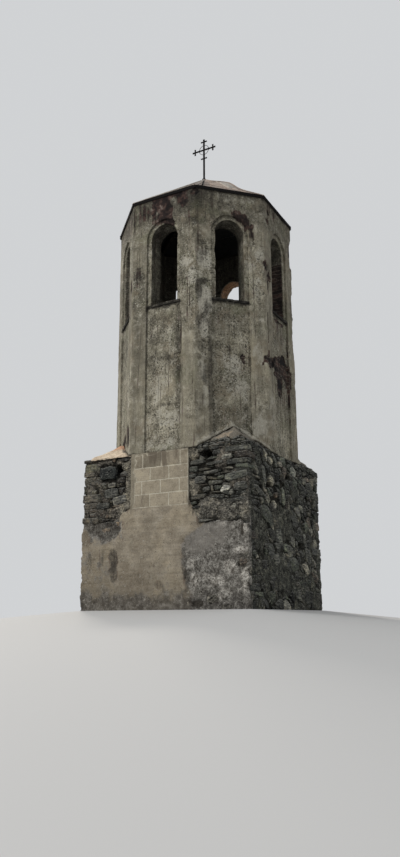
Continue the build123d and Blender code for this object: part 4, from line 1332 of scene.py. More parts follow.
# Places where the render has fallen off: face, along, height, half width, half height, depth
FALLEN = [
    (2, -0.55, 5.33, 0.26, 0.12, 0.022), (2, -0.14, 5.3, 0.34, 0.24, 0.026), (2, 0.2, 5.4, 0.28, 0.3, 0.03),
    (2, -0.02, 4.93, 0.2, 0.26, 0.026), (2, -0.7, 5.5, 0.06, 0.1, 0.016), (2, 0.42, 5.2, 0.14, 0.34, 0.024),
    (1, 0.25, 5.34, 0.06, 0.075, 0.01), (1, 0.29, 5.22, 0.05, 0.06, 0.01),
    (1, 0.78, 5.34, 0.026, 0.07, 0.014), (1, 0.71, 5.2, 0.02, 0.035, 0.012),
    (0, 0.8, 9.17, 0.09, 0.08, 0.03), (2, -0.55, 9.02, 0.08, 0.09, 0.034),
    (2, -0.6, 8.78, 0.06, 0.06, 0.03), (2, -0.22, 9.03, 0.04, 0.12, 0.022),
    (2, -0.74, 7.56, 0.09, 0.11, 0.036), (2, -0.6, 7.4, 0.09, 0.13, 0.036),
    (2, -0.66, 7.15, 0.05, 0.14, 0.026), (2, 0.8, 8.5, 0.12, 0.35, 0.034), (2, 0.8, 7.2, 0.08, 0.35, 0.022),
    (3, -0.75, 6.3, 0.1, 0.5, 0.024), (2, 0, 6.48, 0.26, 0.05, 0.02), (2, -0.72, 6.1, 0.03, 0.35, 0.018),
    (5, 0.2, 5, 0.35, 0.3, 0.026), (5, 0.36, 4.7, 0.16, 0.24, 0.024), (4, -0.5, 8.9, 0.2, 0.12, 0.024),
    (6, 0.58, 6.98, 0.13, 0.13, 0.024), (6, 0.68, 6.78, 0.07, 0.15, 0.022),
    (3, 0.1, 8.85, 0.2, 0.08, 0.024), (7, 0.66, 7.3, 0.08, 0.2, 0.02), (4, 0.1, 4.2, 0.26, 0.16, 0.022),
    (4, 0.32, 4.32, 0.14, 0.2, 0.022)]
# Dark red-brown stains, and painted shadow along the right step of the front panel near along 0.39: face,
# along, height, half width, half height, strength
STAINS = [
    (0, -0.04, 9.14, 0.28, 0.22, 1.25), (0, 0.1, 8.86, 0.19, 0.28, 1.4), (0, 0.12, 8.58, 0.13, 0.18, 1.3),
    (0, -0.26, 9.12, 0.07, 0.3, 1.2), (0, 0.46, 9.16, 0.11, 0.18, 1.3), (0, 0.53, 8.97, 0.07, 0.16, 1.1),
    (0, 0.28, 9.24, 0.3, 0.08, 1.1), (0, -0.46, 8.97, 0.14, 0.2, 0.75), (0, -0.7, 8.9, 0.16, 0.5, 0.42),
    (0, 0.57, 8.75, 0.08, 0.28, 0.5), (0, -0.15, 8.72, 0.3, 0.12, 0.6), (0, 0.39, 6, 0.07, 0.6, 0.5),
    (0, 0.39, 4.9, 0.065, 1, 0.46), (0, 0.39, 3.9, 0.05, 0.5, 0.36), (0, 0.56, 7.7, 0.2, 0.9, 0.28),
    (0, 0.66, 6.4, 0.06, 0.6, 0.3), (0, -0.67, 7.35, 0.17, 0.22, 0.3), (1, 0.17, 8.75, 0.13, 0.085, 1.1),
    (1, 0.29, 8.68, 0.13, 0.095, 1.15), (1, 0.4, 8.57, 0.115, 0.12, 1.15), (1, 0.47, 8.44, 0.1, 0.14, 1.15),
    (1, 0.5, 8.28, 0.075, 0.18, 1), (1, 0.48, 8.05, 0.05, 0.24, 0.7), (1, 0.36, 8.4, 0.1, 0.12, 0.5),
    (1, -0.42, 6.3, 0.03, 0.3, 0.3), (7, 0.1, 3.7, 0.2, 0.3, 0.85), (7, 0.62, 3.75, 0.16, 0.28, 0.7),
    (7, 0.2, 6.4, 0.15, 0.3, 0.3), (7, 0.55, 6.9, 0.1, 0.5, 0.35), (3, 0.1, 9, 0.4, 0.25, 0.6),
    (4, -0.2, 9, 0.45, 0.25, 0.7), (5, 0.3, 9, 0.3, 0.3, 0.6), (6, 0, 9.05, 0.45, 0.2, 0.6),
    (2, -0.66, 7.4, 0.17, 0.5, 0.45), (2, -0.35, 9.15, 0.25, 0.1, 0.5), (2, 0.1, 4.9, 0.45, 0.75, 0.42),
    (7, -0.1, 9, 0.35, 0.2, 0.5), (2, 0, 6.1, 0.35, 0.35, 0.3), (7, 0.5, 8.9, 0.25, 0.25, 0.45)]
# Pale washed places
PALES = [
    (0, 0.55, 7.47, 0.22, 0.1, 0.7), (0, 0.76, 7.15, 0.1, 0.25, 0.7), (1, -0.6, 7.52, 0.16, 0.22, 1.1),
    (1, -0.66, 7.15, 0.12, 0.18, 0.55), (1, -0.6, 6.55, 0.14, 0.38, 1), (1, -0.62, 5.9, 0.1, 0.25, 0.95),
    (1, -0.66, 5, 0.07, 0.3, 0.7), (1, -0.58, 4.4, 0.08, 0.3, 0.7), (0, -0.08, 4.78, 0.26, 0.34, 0.55),
    (0, 0.08, 4.02, 0.32, 0.2, 0.62), (0, -0.1, 3.45, 0.5, 0.16, 0.5), (0, 0, 5.75, 0.25, 0.2, 0.3),
    (1, 0.05, 5.12, 0.25, 0.22, 0.72), (1, 0.16, 4.65, 0.25, 0.26, 0.62), (1, 0.64, 3.75, 0.2, 0.26, 1),
    (1, 0.62, 5.45, 0.12, 0.32, 0.4), (1, 0.42, 7.64, 0.1, 0.16, 0.6), (1, 0.68, 7.77, 0.12, 0.14, 0.6),
    (1, 0.62, 7, 0.1, 0.35, 0.4), (2, -0.6, 4, 0.3, 0.5, 0.45), (1, 0.05, 9.12, 0.46, 0.1, 0.55),
    (0, -0.17, 8.9, 0.05, 0.04, 0.9), (0, 0.27, 9.04, 0.06, 0.12, 0.6), (4, 0.2, 4.2, 0.3, 0.4, 0.4),
    (6, -0.1, 5.2, 0.4, 0.5, 0.3), (5, 0.6, 6.4, 0.15, 0.6, 0.5), (3, 0.5, 4.6, 0.3, 0.5, 0.3),
    (4, -0.62, 5, 0.1, 0.8, 0.4), (6, 0.6, 4.4, 0.15, 0.6, 0.4)]
# Dark lichen and soot, and painted shadow beside the left edge of the panel of the front right face
SOOT_AND_SHADE_SPOTS = [
    (1, -0.5, 8.7, 0.3, 0.4, 0.42), (1, -0.12, 8.98, 0.35, 0.06, 0.6), (0, -0.67, 7.46, 0.17, 0.14, 0.6),
    (0, -0.67, 7.6, 0.15, 0.025, 0.85), (0, -0.16, 5.83, 0.2, 0.17, 0.5), (0, -0.05, 5.38, 0.42, 0.12, 0.5),
    (0, 0.26, 5.3, 0.14, 0.18, 0.5), (0, -0.02, 4.28, 0.42, 0.05, 0.5), (0, 0.15, 6.35, 0.26, 0.2, 0.35),
    (0, -0.3, 6.1, 0.1, 0.4, 0.4), (1, 0, 6.1, 0.42, 0.45, 0.42), (1, -0.18, 5.55, 0.3, 0.22, 0.45),
    (1, -0.2, 4.75, 0.26, 0.4, 0.3), (1, -0.73, 7.8, 0.12, 0.5, 0.5), (1, -0.62, 6.98, 0.14, 0.12, 0.78),
    (1, -0.68, 5.4, 0.12, 0.9, 0.45), (1, -0.6, 6.16, 0.16, 0.14, 0.75), (1, -0.64, 5.5, 0.14, 0.16, 0.65),
    (1, -0.68, 4.3, 0.1, 0.35, 0.5), (0, 0.62, 9.2, 0.16, 0.08, 0.95), (1, -0.72, 9.15, 0.14, 0.1, 0.9),
    (1, 0.78, 5.34, 0.03, 0.07, 0.8), (1, 0.71, 5.2, 0.025, 0.035, 0.7), (2, 0.2, 5.56, 0.2, 0.09, 1),
    (2, -0.02, 4.95, 0.17, 0.2, 1), (2, 0.3, 5.1, 0.16, 0.2, 0.8), (2, -0.5, 5.3, 0.08, 0.08, 1),
    (2, -0.6, 5.2, 0.1, 0.1, 0.8), (2, -0.74, 7.56, 0.08, 0.1, 0.9), (2, -0.6, 7.38, 0.08, 0.12, 0.9),
    (2, -0.55, 9.02, 0.08, 0.09, 1), (2, -0.6, 8.78, 0.06, 0.07, 0.9), (2, -0.2, 6.62, 0.3, 0.12, 0.7),
    (2, 0, 6.2, 0.4, 0.4, 0.35), (3, 0, 6.2, 0.4, 0.4, 0.35), (4, 0, 6.1, 0.4, 0.45, 0.35),
    (5, 0, 6.2, 0.4, 0.4, 0.3), (6, 0, 6.2, 0.4, 0.4, 0.3), (7, 0, 6.1, 0.4, 0.5, 0.3),
    (4, 0.5, 8.8, 0.3, 0.3, 0.4), (6, -0.5, 8.8, 0.3, 0.3, 0.4), (0, -0.6, 8.55, 0.1, 0.25, 0.4),
    (1, -0.49, 5.1, 0.065, 1.6, 0.85), (1, -0.44, 4.3, 0.1, 0.9, 0.5), (0, 0.72, 8.98, 0.14, 0.3, 0.75),
    (1, -0.58, 7.74, 0.1, 0.14, 0.6), (1, -0.74, 6.75, 0.08, 0.28, 0.8), (1, -0.56, 6.3, 0.06, 0.3, 0.8),
    (1, -0.75, 6.05, 0.07, 0.24, 0.75), (1, -0.6, 4.85, 0.07, 0.36, 0.8), (0, 0.84, 8.7, 0.12, 0.45, 0.55),
    (1, -0.8, 8.8, 0.1, 0.4, 0.5)]
# Pitted places of the pilasters of the front and of the face to its right
PITTED = [
    (0, -0.67, 7.25, 0.2, 0.38, 0.9), (0, -0.67, 6.65, 0.2, 0.4, 0.6), (0, 0.62, 7.2, 0.26, 0.75, 0.9),
    (0, 0.62, 6.2, 0.26, 0.4, 0.6), (0, 0.62, 8.4, 0.26, 0.5, 0.4), (0, 0.72, 4.2, 0.14, 0.35, 0.5),
    (1, -0.62, 7.2, 0.26, 0.75, 1), (1, -0.62, 5.9, 0.26, 0.7, 0.7), (1, 0.62, 7.3, 0.26, 0.75, 0.9),
    (1, 0.62, 6.3, 0.22, 0.5, 0.6), (1, 0.66, 4.4, 0.2, 0.45, 0.5)]
# Lighter and darker areas, the darker ones near along 0.38 on the front being painted shadow along its
# panel's right step: face, along, height, half width, half height, change of level
TONES = [
    (0, 0, 4.05, 0.42, 0.85, 0.5), (0, -0.64, 6.5, 0.18, 1.7, -0.3), (0, 0.62, 5, 0.22, 1.3, 0.14),
    (0, 0.74, 8.8, 0.16, 0.5, -0.34), (0, 0.38, 5.6, 0.075, 1.3, -0.36), (1, -0.76, 8.8, 0.16, 0.5, -0.24),
    (1, -0.62, 7.3, 0.2, 0.5, -0.12), (0, 0.62, 8.2, 0.25, 0.5, -0.18), (1, -0.62, 5.6, 0.22, 2.2, 0.2),
    (1, 0.62, 5.9, 0.22, 2.3, 0.34), (2, -0.66, 5.5, 0.2, 2.5, 0.16), (2, 0, 3.9, 0.7, 0.5, 0.26),
    (1, 0.1, 9.1, 0.6, 0.14, 0.38), (1, 0, 3.9, 0.4, 0.4, -0.22), (1, 0, 5.9, 0.42, 0.7, 0.12),
    (7, 0.5, 6.3, 0.14, 1, -0.08), (0, 0.385, 4.9, 0.1, 1.2, -0.48), (0, -0.64, 4.2, 0.2, 0.6, -0.06)]


def spots(p, rows, seed, blur=0.45, total=False, ragged=0.30):
    """Strongest of a list of blots at each point, or their sum."""
    value = np.zeros(len(p))
    uneven = noise(p, 0.22, seed, 3) + 0.5 * noise(p, 0.08, seed + 100, 2)
    for face, u, z, a, b, much in rows:
        centre = on_face(face, u, SHAFT, z)
        r = np.hypot(np.hypot(p[:, 0] - centre[0], p[:, 1] - centre[1]) / a, (p[:, 2] - centre[2]) / b)
        blot = much * fall(r + ragged * uneven, 1 - blur, 1 + blur)
        value = value + blot if total else np.maximum(value, blot)
    return value


def around(u, z):
    """Distance from the middle line of an opening, or from the centre of its arch."""
    return np.where(z < SPRING, np.abs(u), np.hypot(u, z - SPRING))


def over_foot(p, u):
    """Height over the line where the shaft meets its foot, and whether stones lie against that line."""
    face = np.round(np.arctan2(p[:, 0], -p[:, 1]) / TURN).astype(int) % 8
    top = BROACH_RISE * np.where((face == 5) | (face == 7), SMOOTH_BROACH, 1.0)
    line = np.where(face % 2 == 1, top * np.clip(1 - np.abs(u) / CORNER, 0, 1), 0)
    return p[:, 2] - BASE_TOP - line, (face == 1) | (face == 3)


def shaft_wear(p, u):
    """Depth of the worn surface behind the true one, for points with their distance along their face."""
    z = p[:, 2]
    ring = around(u, z)
    arris = np.minimum(np.abs(ring - PANEL_HALF), np.abs(ring - JAMB))
    depth = 0.0045 * noise(p, 0.6, 41) + 0.0035 * noise(p, 0.15, 42)
    depth += 0.034 * np.clip(noise(p, 0.15, 43, 3) - 0.18, 0, 1) * fall(arris, 0.0, 0.04)
    depth += (0.004 + 0.040 * np.clip(noise(p, 0.3, 44) - 0.22, 0, 1)) * fall(CORNER - np.abs(u), 0.0, 0.05)
    depth += spots(p, FALLEN, 45, 0.12, ragged=0.46)
    depth += 0.012 * step(z, SHAFT_TOP - 0.12, SHAFT_TOP) * np.clip(noise(p, 0.3, 46) + 0.2, 0, 1)
    # Thick edge of the render over the stones at its foot
    over, stony = over_foot(p, u)
    ragged = over + 0.016 * noise(p, 0.12, 47)
    return depth - np.where(stony, 0.060, 0.022) * step(ragged, -0.03, 0.0) * fall(ragged, 0.06, 0.16)


def lit_back_reveal(p, out):
    """Share of red-brown masonry under the arch at the back, with painted sunlight on it."""
    turn = np.abs(np.arctan2(p[:, 0], p[:, 1]))
    return (out > SHAFT_IN + 0.001) * (out < PANEL - 0.02) * fall(turn, 0.26, 0.32) * step(p[:, 2], 7.7, 8.3)


def shaft_marks(p, u, out):
    """Stain, bare masonry, pale wash, and soot with painted shade, at points of the shaft."""
    z = p[:, 2]
    ring, (over, stony) = around(u, z), over_foot(p, u)
    reveal = (out < PANEL - 0.02) & (out > SHAFT_IN + 0.01)
    right = np.abs(np.arctan2(p[:, 0], -p[:, 1]) - 2 * TURN) < HALF
    bare = spots(p, [(*row[:5], 1.0) for row in FALLEN], 45, 0.12, ragged=0.46)
    bare = np.maximum(bare, np.where(reveal & right & (z > SILL) & (z < 8.1), 0.66, 0))
    pilaster = step(np.abs(u), PANEL_HALF + 0.02, PANEL_HALF + 0.06) * fall(z, SPRING, SPRING + 0.3)
    # Pale band just over the foot line on the stony faces: painted highlight along the render's lip
    rim = step(over, 0.0, 0.03) * fall(over + 0.05 * noise(p, 0.15, 56), 0.07, 0.14)
    pale = np.maximum.reduce([spots(p, PALES, 52), 0.06 * pilaster, 0.85 * stony * rim])
    # Soot under the eaves; painted shadow just below the eave's edge, at the foot under the render's lip, in
    # the groove round the panel, round its head and under the sill
    ahead = np.clip(-p[:, 1] / np.hypot(p[:, 0], p[:, 1]), 0, 1) ** 3
    uneven = noise(p, 0.12, 58, 3)
    groove = np.abs(ring - PANEL_HALF + 0.004) - 0.010 * uneven
    head = np.abs(ring - PANEL_HALF) - 0.05 * uneven
    under = np.abs(z - SILL_LOW + 0.03) - 0.04 * uneven
    soot_and_shade = np.maximum.reduce([
        spots(p, SOOT_AND_SHADE_SPOTS, 53, 0.40),
        (0.50 + 0.34 * ahead) * step(z + 0.14 * noise(p, 0.25, 54), 8.15, 9.05),
        0.95 * step(z + 0.03 * noise(p, 0.10, 57), 9.17, 9.24),
        np.where(stony, 0.95, 0.9) * fall(over + 0.018 * noise(p, 0.10, 55), 0.0, 0.035),
        0.55 * fall(groove, 0.0, 0.022) * (out < SHAFT - 0.01),
        0.50 * fall(head, 0.02, 0.07) * step(z, SPRING - 0.2, SPRING + 0.1),
        0.95 * fall(under, 0.02, 0.07) * (np.abs(u) < PANEL_HALF + 0.03)])
    # Painted shade in the reveals of the openings, darker towards the arch
    soot_and_shade = np.where(reveal, 0.55 + 0.25 * step(z, 7.9, 8.4), soot_and_shade)
    # Painted shade on the inner faces of the shaft, less of it where painted sunlight falls on the back
    # reveal
    soot_and_shade = np.where(out <= SHAFT_IN + 0.001, 0.85, soot_and_shade) * (1 - 0.75 * lit_back_reveal(p, out))
    return np.stack([spots(p, STAINS, 51, 0.38), bare, pale, soot_and_shade], -1)


def shaft_tint(p, u, out):
    """Level of the render's colour, and how pitted it is: sunk panels more than pilasters."""
    z, turn = p[:, 2], np.arctan2(p[:, 0], -p[:, 1])
    level = 1.0 + spots(p, TONES, 59, 0.35, total=True) - 0.15 * step(z, 8.2, 9.0)
    level = level + 0.42 * ((turn < -HALF) & (turn > -3 * HALF)) * fall(z, 4.9, 5.9)
    known = (turn > -HALF) & (turn < 3 * HALF)
    pitted = np.where(known, 0.08 + 0.20 * step(z, 6.0, 6.9) + spots(p, PITTED, 60),
                      0.2 + 0.7 * step(noise(p, 0.8, 56), -0.15, 0.35))
    sunk = fall(around(u, z), PANEL_HALF - 0.01, PANEL_HALF + 0.02)
    pitted = np.clip(np.maximum.reduce([pitted, 0.55 * step(z, 8.0, 8.6), 0.9 * sunk]), 0, 1)
    # Redder and lighter there: the masonry's colour, and painted sunlight
    red = lit_back_reveal(p, out)
    return np.stack([*(level * (1 + k * red) for k in (0.45, -0.10, -0.35)), pitted], -1)


def shaft_grid(piece, face, u, out, nu, nout, z, nz=0.0):
    """Adds a closed tube of worn wall points, given with outward directions in the frame of their faces."""
    rows, cols = u.shape
    face, u, out, nu, nout, z, nz = (np.broadcast_to(k, (rows, cols)).reshape(-1).astype(float)
                                     for k in (face, u, out, nu, nout, z, nz))
    c, s = np.cos(face * TURN), np.sin(face * TURN)
    p = np.stack([u * c + out * s, u * s - out * c, z], -1)
    n = np.stack([nu * c + nout * s, nu * s - nout * c, nz], -1)
    moved = p - n * np.where((nu == 0) & (nout == 0) & (nz == 0), 0, shaft_wear(p, u))[:, None]
    piece.add(moved, tube(rows, cols), 0, shaft_tint(p, u, out), shaft_marks(p, u, out))
    # Place on the unrolled wall, for the pattern of the bricks
    piece.walls.append(np.stack([u + face * 1.7, z, out], -1))


# Section of a pier from the opening to its corner: along, distance from the axis, outward direction in both
PIER_SIDE = np.array([
    (JAMB, SHAFT_IN, 0, 0), *((JAMB, out, -1, 0) for out in (1.62, 1.72, 1.82, 1.90)),
    (JAMB, PANEL, -0.7, 0.7), *((u, PANEL, 0, 1) for u in (0.365, 0.40, 0.434)),
    (0.44, 1.940, -0.7, 0.7), (0.44, 1.970, -1, 0), (0.4445, SHAFT, -0.4, 0.9),
    *((u, SHAFT, 0, 1) for u in (0.462, 0.49, SEAT, 0.56, 0.60, 0.64, 0.68, 0.72, 0.755, 0.783, 0.804))])


def pier_ring(side, inner, z):
    """Section of a pier at one height, round both its sides."""
    side = side.copy()
    side[0, 1] = inner
    corner, back = [(CORNER, SHAFT, TAN, 1.0)], [(-inner * TAN, inner, 0, 0)]
    ring = np.concatenate([side, corner, side[::-1] * (-1, 1, -1, 1), back])
    return np.column_stack([ring, np.full(len(ring), z)])


def corner_pier(face, material):
    """Pier between a face and the next, with its pilaster."""
    piece = Piece()
    # Beside the panel wall its jamb isn't worn, and beside the arch it ends at the seat of the arch
    low, head = PIER_SIDE.copy(), PIER_SIDE.copy()
    low[:6, 2:] = 0
    low[5, 3] = 1
    seat = int(np.argmin(np.abs(PIER_SIDE[:, 0] - SEAT)))
    head[:seat + 1, 0], head[:seat + 1, 1] = SEAT, np.linspace(SHAFT_IN, SHAFT, seat + 1)
    head[:seat, 2:] = 0
    parts = ((low, LEDGE_IN, FOOT_ROWS), (low, SHAFT_IN, PANEL_ROWS),
             (PIER_SIDE, SHAFT_IN, OPEN_ROWS), (head, SHAFT_IN, HEAD_ROWS))
    rings = np.array([pier_ring(side, inner, z) for side, inner, levels in parts for z in levels])
    u, out, nu, nout, z = np.moveaxis(rings, -1, 0)
    shaft_grid(piece, np.repeat((face, face + 1), len(PIER_SIDE) + 1), u, out, nu, nout, z)
    piece.make(f"rendered_pier_{face + 1}", [material], "shaft_render", [f"corner_pier_{face + 1}"])


def panel_wall(face, material):
    """Sunk wall under an opening."""
    piece = Piece()
    u, z = np.meshgrid([*np.linspace(-JAMB, JAMB, 18), JAMB, -JAMB], np.concatenate([FOOT_ROWS, PANEL_ROWS]))
    out, nout = np.full_like(u, PANEL), np.ones_like(u)
    out[:, -2:] = np.repeat((LEDGE_IN, SHAFT_IN), (len(FOOT_ROWS), len(PANEL_ROWS)))[:, None]
    nout[:, -2:] = 0
    shaft_grid(piece, face, u, out, 0.0, nout, z)
    name = FACE_NAMES[face]
    piece.make("rendered_panel_" + name, [material], "shaft_render", ["panel_wall_" + name])


def arch_head(face, material):
    """Wall over an opening, with the round arch and the round head of the panel."""
    piece = Piece()
    rise = [(SEAT, z) for z in HEAD_ROWS]
    top = [(x, SHAFT_TOP) for x in np.linspace(SEAT, -SEAT, 27)[1:-1]]
    rim = np.array(rise + top + [(-x, z) for x, z in rise[::-1]]) - (0, SPRING)
    reach = np.hypot(*rim.T)[:, None]
    along, up = (rim / reach).T[..., None]
    # Columns of the pier's section from the opening to the pilaster, then 12 to the rim, and the back
    edge, first = PIER_SIDE[:12], PIER_SIDE[12, 0]
    front = first + (reach - first) * np.linspace(0, 1, 12)
    r = np.concatenate([np.tile(edge[:, 0], (len(rim), 1)), front, reach], 1)
    out, radial, nout = (np.concatenate([edge[:, k], np.full(12, outside), [inside]])
                         for k, outside, inside in ((1, SHAFT, SHAFT_IN), (2, 0, 0), (3, 1, 0)))
    shaft_grid(piece, face, r * along, out, radial * along, nout, SPRING + r * up, radial * up)
    name = FACE_NAMES[face]
    piece.make("rendered_arch_" + name, [material], "shaft_render", ["arch_head_" + name])


def window_sills(material):
    """Crumbling sills with a broken lip."""
    piece = Piece()
    slab = (JAMB - 0.001, SHAFT_IN, PANEL, 0.0)
    lip = (PANEL_HALF - 0.002, PANEL - 0.012, PANEL + 0.034, 0.022)
    for face in range(8):
        for half_u, low, high, drop in (slab, lip):
            half = np.array([half_u, (high - low) / 2, (SILL - SILL_LOW + drop) / 2])
            p, faces = rounded_box(half, 0.008, 0.030)
            middle = np.array((0, -(low + high) / 2, (SILL + SILL_LOW - drop) / 2))
            q = turned(p + middle, face * TURN)
            if drop:
                bite = np.clip(noise(q, 0.09, 61) - 0.05, 0, 1)
                p[:, 1] += step(-p[:, 1], 0.0, half[1]) * bite * 0.045
                p[:, 2] += 0.014 * noise(q, 0.10, 62)
            piece.add(turned(p + middle, face * TURN), faces)
    piece.make("crumbling_sills", [material], "sill_cement", ["window_sills"])


# Floor and roof

BEIGE, ZINC, ASH = (0.325, 0.260, 0.215), (0.235, 0.232, 0.228), (0.35, 0.315, 0.275)
SIDE_TINTS = np.array((ASH, BEIGE, BEIGE, ZINC, ZINC, BEIGE, ZINC, ASH))
# Tiers of sheets: distance of their upper and lower edge from the axis, and sheets on a side
TIERS = ((0.03, 0.72, 2), (0.66, 1.40, 3), (1.34, 2.006, 4))


def floor_boards(material):
    """Boards of the belfry floor, laid across the joists."""
    piece = Piece()
    low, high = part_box("belfry_floor")
    rng = np.random.default_rng(5)
    edges = np.linspace(-SHAFT_IN, SHAFT_IN, 17)
    for a, b in zip(edges, edges[1:]):
        mid = (a + b) / 2
        reach = min(SHAFT_IN, SHAFT_IN * math.sqrt(2) - max(abs(a), abs(b))) - 0.004
        half = np.array([reach, (b - a) / 2 - rng.uniform(0.002, 0.005), (high.z - low.z) / 2 - 0.002])
        p, faces = rounded_box(half, 0.006, 0.2)
        p[:, 2] += 0.003 * noise(p + (0, mid, 9), 0.5, 71) - 0.002
        piece.add(p + (0, mid, (low.z + high.z) / 2), faces)
    piece.make("floor_boards", [material], "timber", ["belfry_floor"])


def roof_height(r):
    """Height of the roof's top at a distance from the axis, at right angles to a side."""
    return ROOF_APEX + ROOF_OVER - SLOPE * r


def lifted(p):
    """How far the sheets stand off the roof near the hip between the front right and the right face."""
    axis = 1.5 * TURN
    along = p[..., 0] * math.sin(axis) - p[..., 1] * math.cos(axis)
    aside = np.abs(p[..., 0] * math.cos(axis) + p[..., 1] * math.sin(axis))
    rise = np.interp(along, (0.05, 0.95, 1.08, 1.34, 1.60), (0.0, 0.104, 0.088, 0.004, 0.0))
    return rise * fall(aside, 0.05, 0.47)


def on_roof(side, u, r, tier):
    """Point on the sheets of a tier, at a distance along the side and from the axis."""
    p = on_face(side, u, r, roof_height(r) + 0.004 * (2 - tier) + 0.003)
    if side in (1, 2):
        p[..., 2] += 0.9 * lifted(p)
    return p


def sheet(piece, side, tier, inner, outer, a, b, tint, curl):
    """Thin sheet between two distances from the axis and two shares of the side's half width."""
    rows, cols = 10, 9
    r, s = np.linspace(inner, outer, rows)[:, None], np.linspace(a, b, cols)
    u = s * r * TAN
    top = on_roof(side, u, r, tier)
    flat = on_face(side, u, r, roof_height(r) + 0.004 * (2 - tier))
    top[..., 2] += 0.005 * noise(flat, 0.35, 82) + 0.004 * curl * step(r, outer - 0.2, outer)
    worn = np.maximum(fall(np.abs(r - outer), 0.0, 0.09), fall(np.minimum(s - a, b - s) * r * TAN, 0, 0.03))
    marks = np.zeros((2, rows, cols, 4))
    marks[..., 0] = np.clip(0.75 * worn + 0.5 * (noise(top, 0.4, 83) - 0.2), 0, 1)
    count, grid = rows * cols, quads(rows, cols)
    grid += [[count + i for i in face[::-1]] for face in grid]
    start = piece.add(np.stack([top, top - (0, 0, 0.004)]), grid, 0, tint, marks.reshape(-1, 4))
    ring = start + np.array([i * cols + j for i, j in rim_of(rows, cols)])
    piece.skirt(ring, ring + count)


def roof_sheets(material):
    """Sheets of the roof in three tiers on each side, lapped like scales, with upstand seams between them."""
    piece, seams = Piece(), Piece()
    for side in range(8):
        rng = np.random.default_rng(200 + side)
        for tier, (inner, outer, count) in enumerate(TIERS):
            for k in range(count):
                tint = SIDE_TINTS[side] * rng.uniform(0.82, 1.18)
                if rng.random() < 0.15:
                    tint = np.array((0.40, 0.36, 0.31)) * rng.uniform(0.85, 1.1)
                a, b = -1 + 2 * k / count, -1 + 2 * (k + 1) / count
                sheet(piece, side, tier, inner, outer, a, b, tint, rng.random())
                if k:
                    seam(seams, side, a, inner + 0.03, outer, tier, tint * 1.15)
    drip(piece)
    # Near-black edge material: painted shade under the roof's edge
    edge = Shade("roof_edge_painted_shade", roughness=0.95, specular=0.05).finish((0.010, 0.009, 0.009))
    piece.make("roof_sheets", [material, edge], "roof_sheet", ["roof_covering", "lifted_roof_sheet"])
    for side in range(8):
        hip_cap(seams, side, SIDE_TINTS[side] * 1.1)
    seams.make("roof_seams_and_hips", [material], "roof_sheet")


def seam(piece, side, s, inner, outer, tier, tint):
    """Upstand seam that runs up the slope between two sheets."""
    width, high = 0.009, 0.020
    points = []
    for r in np.linspace(inner, outer, 9):
        z = on_roof(side, s * r * TAN, r, tier)[2]
        for du, dz in ((-width, -0.004), (-width * 0.7, high), (width * 0.7, high), (width, -0.004)):
            points.append(on_face(side, s * r * TAN + du, r, z + dz))
    piece.add(points, tube(9, 4), 0, tint, (0.35, 0, 0, 0))


def hip_cap(piece, side, tint):
    """Bent strip over the hip between a side and the next."""
    section = ((-0.055, -0.001), (-0.0275, 0.010), (0, 0.016), (0.0275, 0.010), (0.055, -0.001), (0, -0.004))
    points = []
    for r in np.linspace(0.06, 2.006, 15):
        for u, up in section:
            z = roof_height(r + abs(u) * math.sin(HALF)) + up + 0.010
            p = turned((u, -r / math.cos(HALF), z), (side + 0.5) * TURN)
            p[2] += lifted(p) + 0.004 * noise(p, 0.3, 84)
            points.append(p)
    piece.add(points, tube(15, 6), 0, tint, (0.5, 0, 0, 0))


def drip(piece):
    """Edge of the roof, turned down over the eave board, drawn near black as painted shade."""
    outer, inner = EAVE_OUT + 0.0065, EAVE_OUT + 0.0015
    section = [(outer, 9.246), (outer, 9.318), (EAVE_OUT - 0.03, 9.338),
               (inner - 0.03, 9.326), (inner, 9.298), (inner, 9.246)]
    points = []
    for side in range(8):
        for s in np.linspace(-1, 1, 15)[:-1]:
            for out, z in section:
                p = on_face(side, s * out * TAN, out, z)
                p[2] += 0.004 * noise(p, 0.4, 85)
                points.append(p)
    piece.add(points, quads(8 * 14, len(section), True, True), 1, (0.012, 0.011, 0.011))


# Cross


def between(a, b, p, across, deep):
    """Points of an upright bar, laid between two places, with its width across and its thickness deep."""
    axis = (b - a) / np.linalg.norm(b - a)
    return (a + b) / 2 + p[:, :1] * across + p[:, 1:2] * deep + p[:, 2:] * axis


def forged_bar(piece, a, b, width, thick, swell):
    """Flat bar between two points, worn at its edges and a little uneven, thicker at its ends by swell."""
    a, b = np.array(a, float), np.array(b, float)
    length = np.linalg.norm(b - a)
    p, faces = rounded_box((width / 2, thick / 2, length / 2), 0.0045, 0.04)
    p[:, 0] *= 1 + swell * step(np.abs(p[:, 2]) / (length / 2), 1 - 0.05 / max(length, 0.11), 1.0)
    p += 0.0011 * np.stack([noise(p + (k * 9, 0, a[2]), 0.03, 91) for k in range(3)], -1)
    upright = a[2] != b[2]
    piece.add(between(a, b, p, np.array((1, 0, 0) if upright else (0, 0, 1)), np.array((0, 1, 0))), faces)


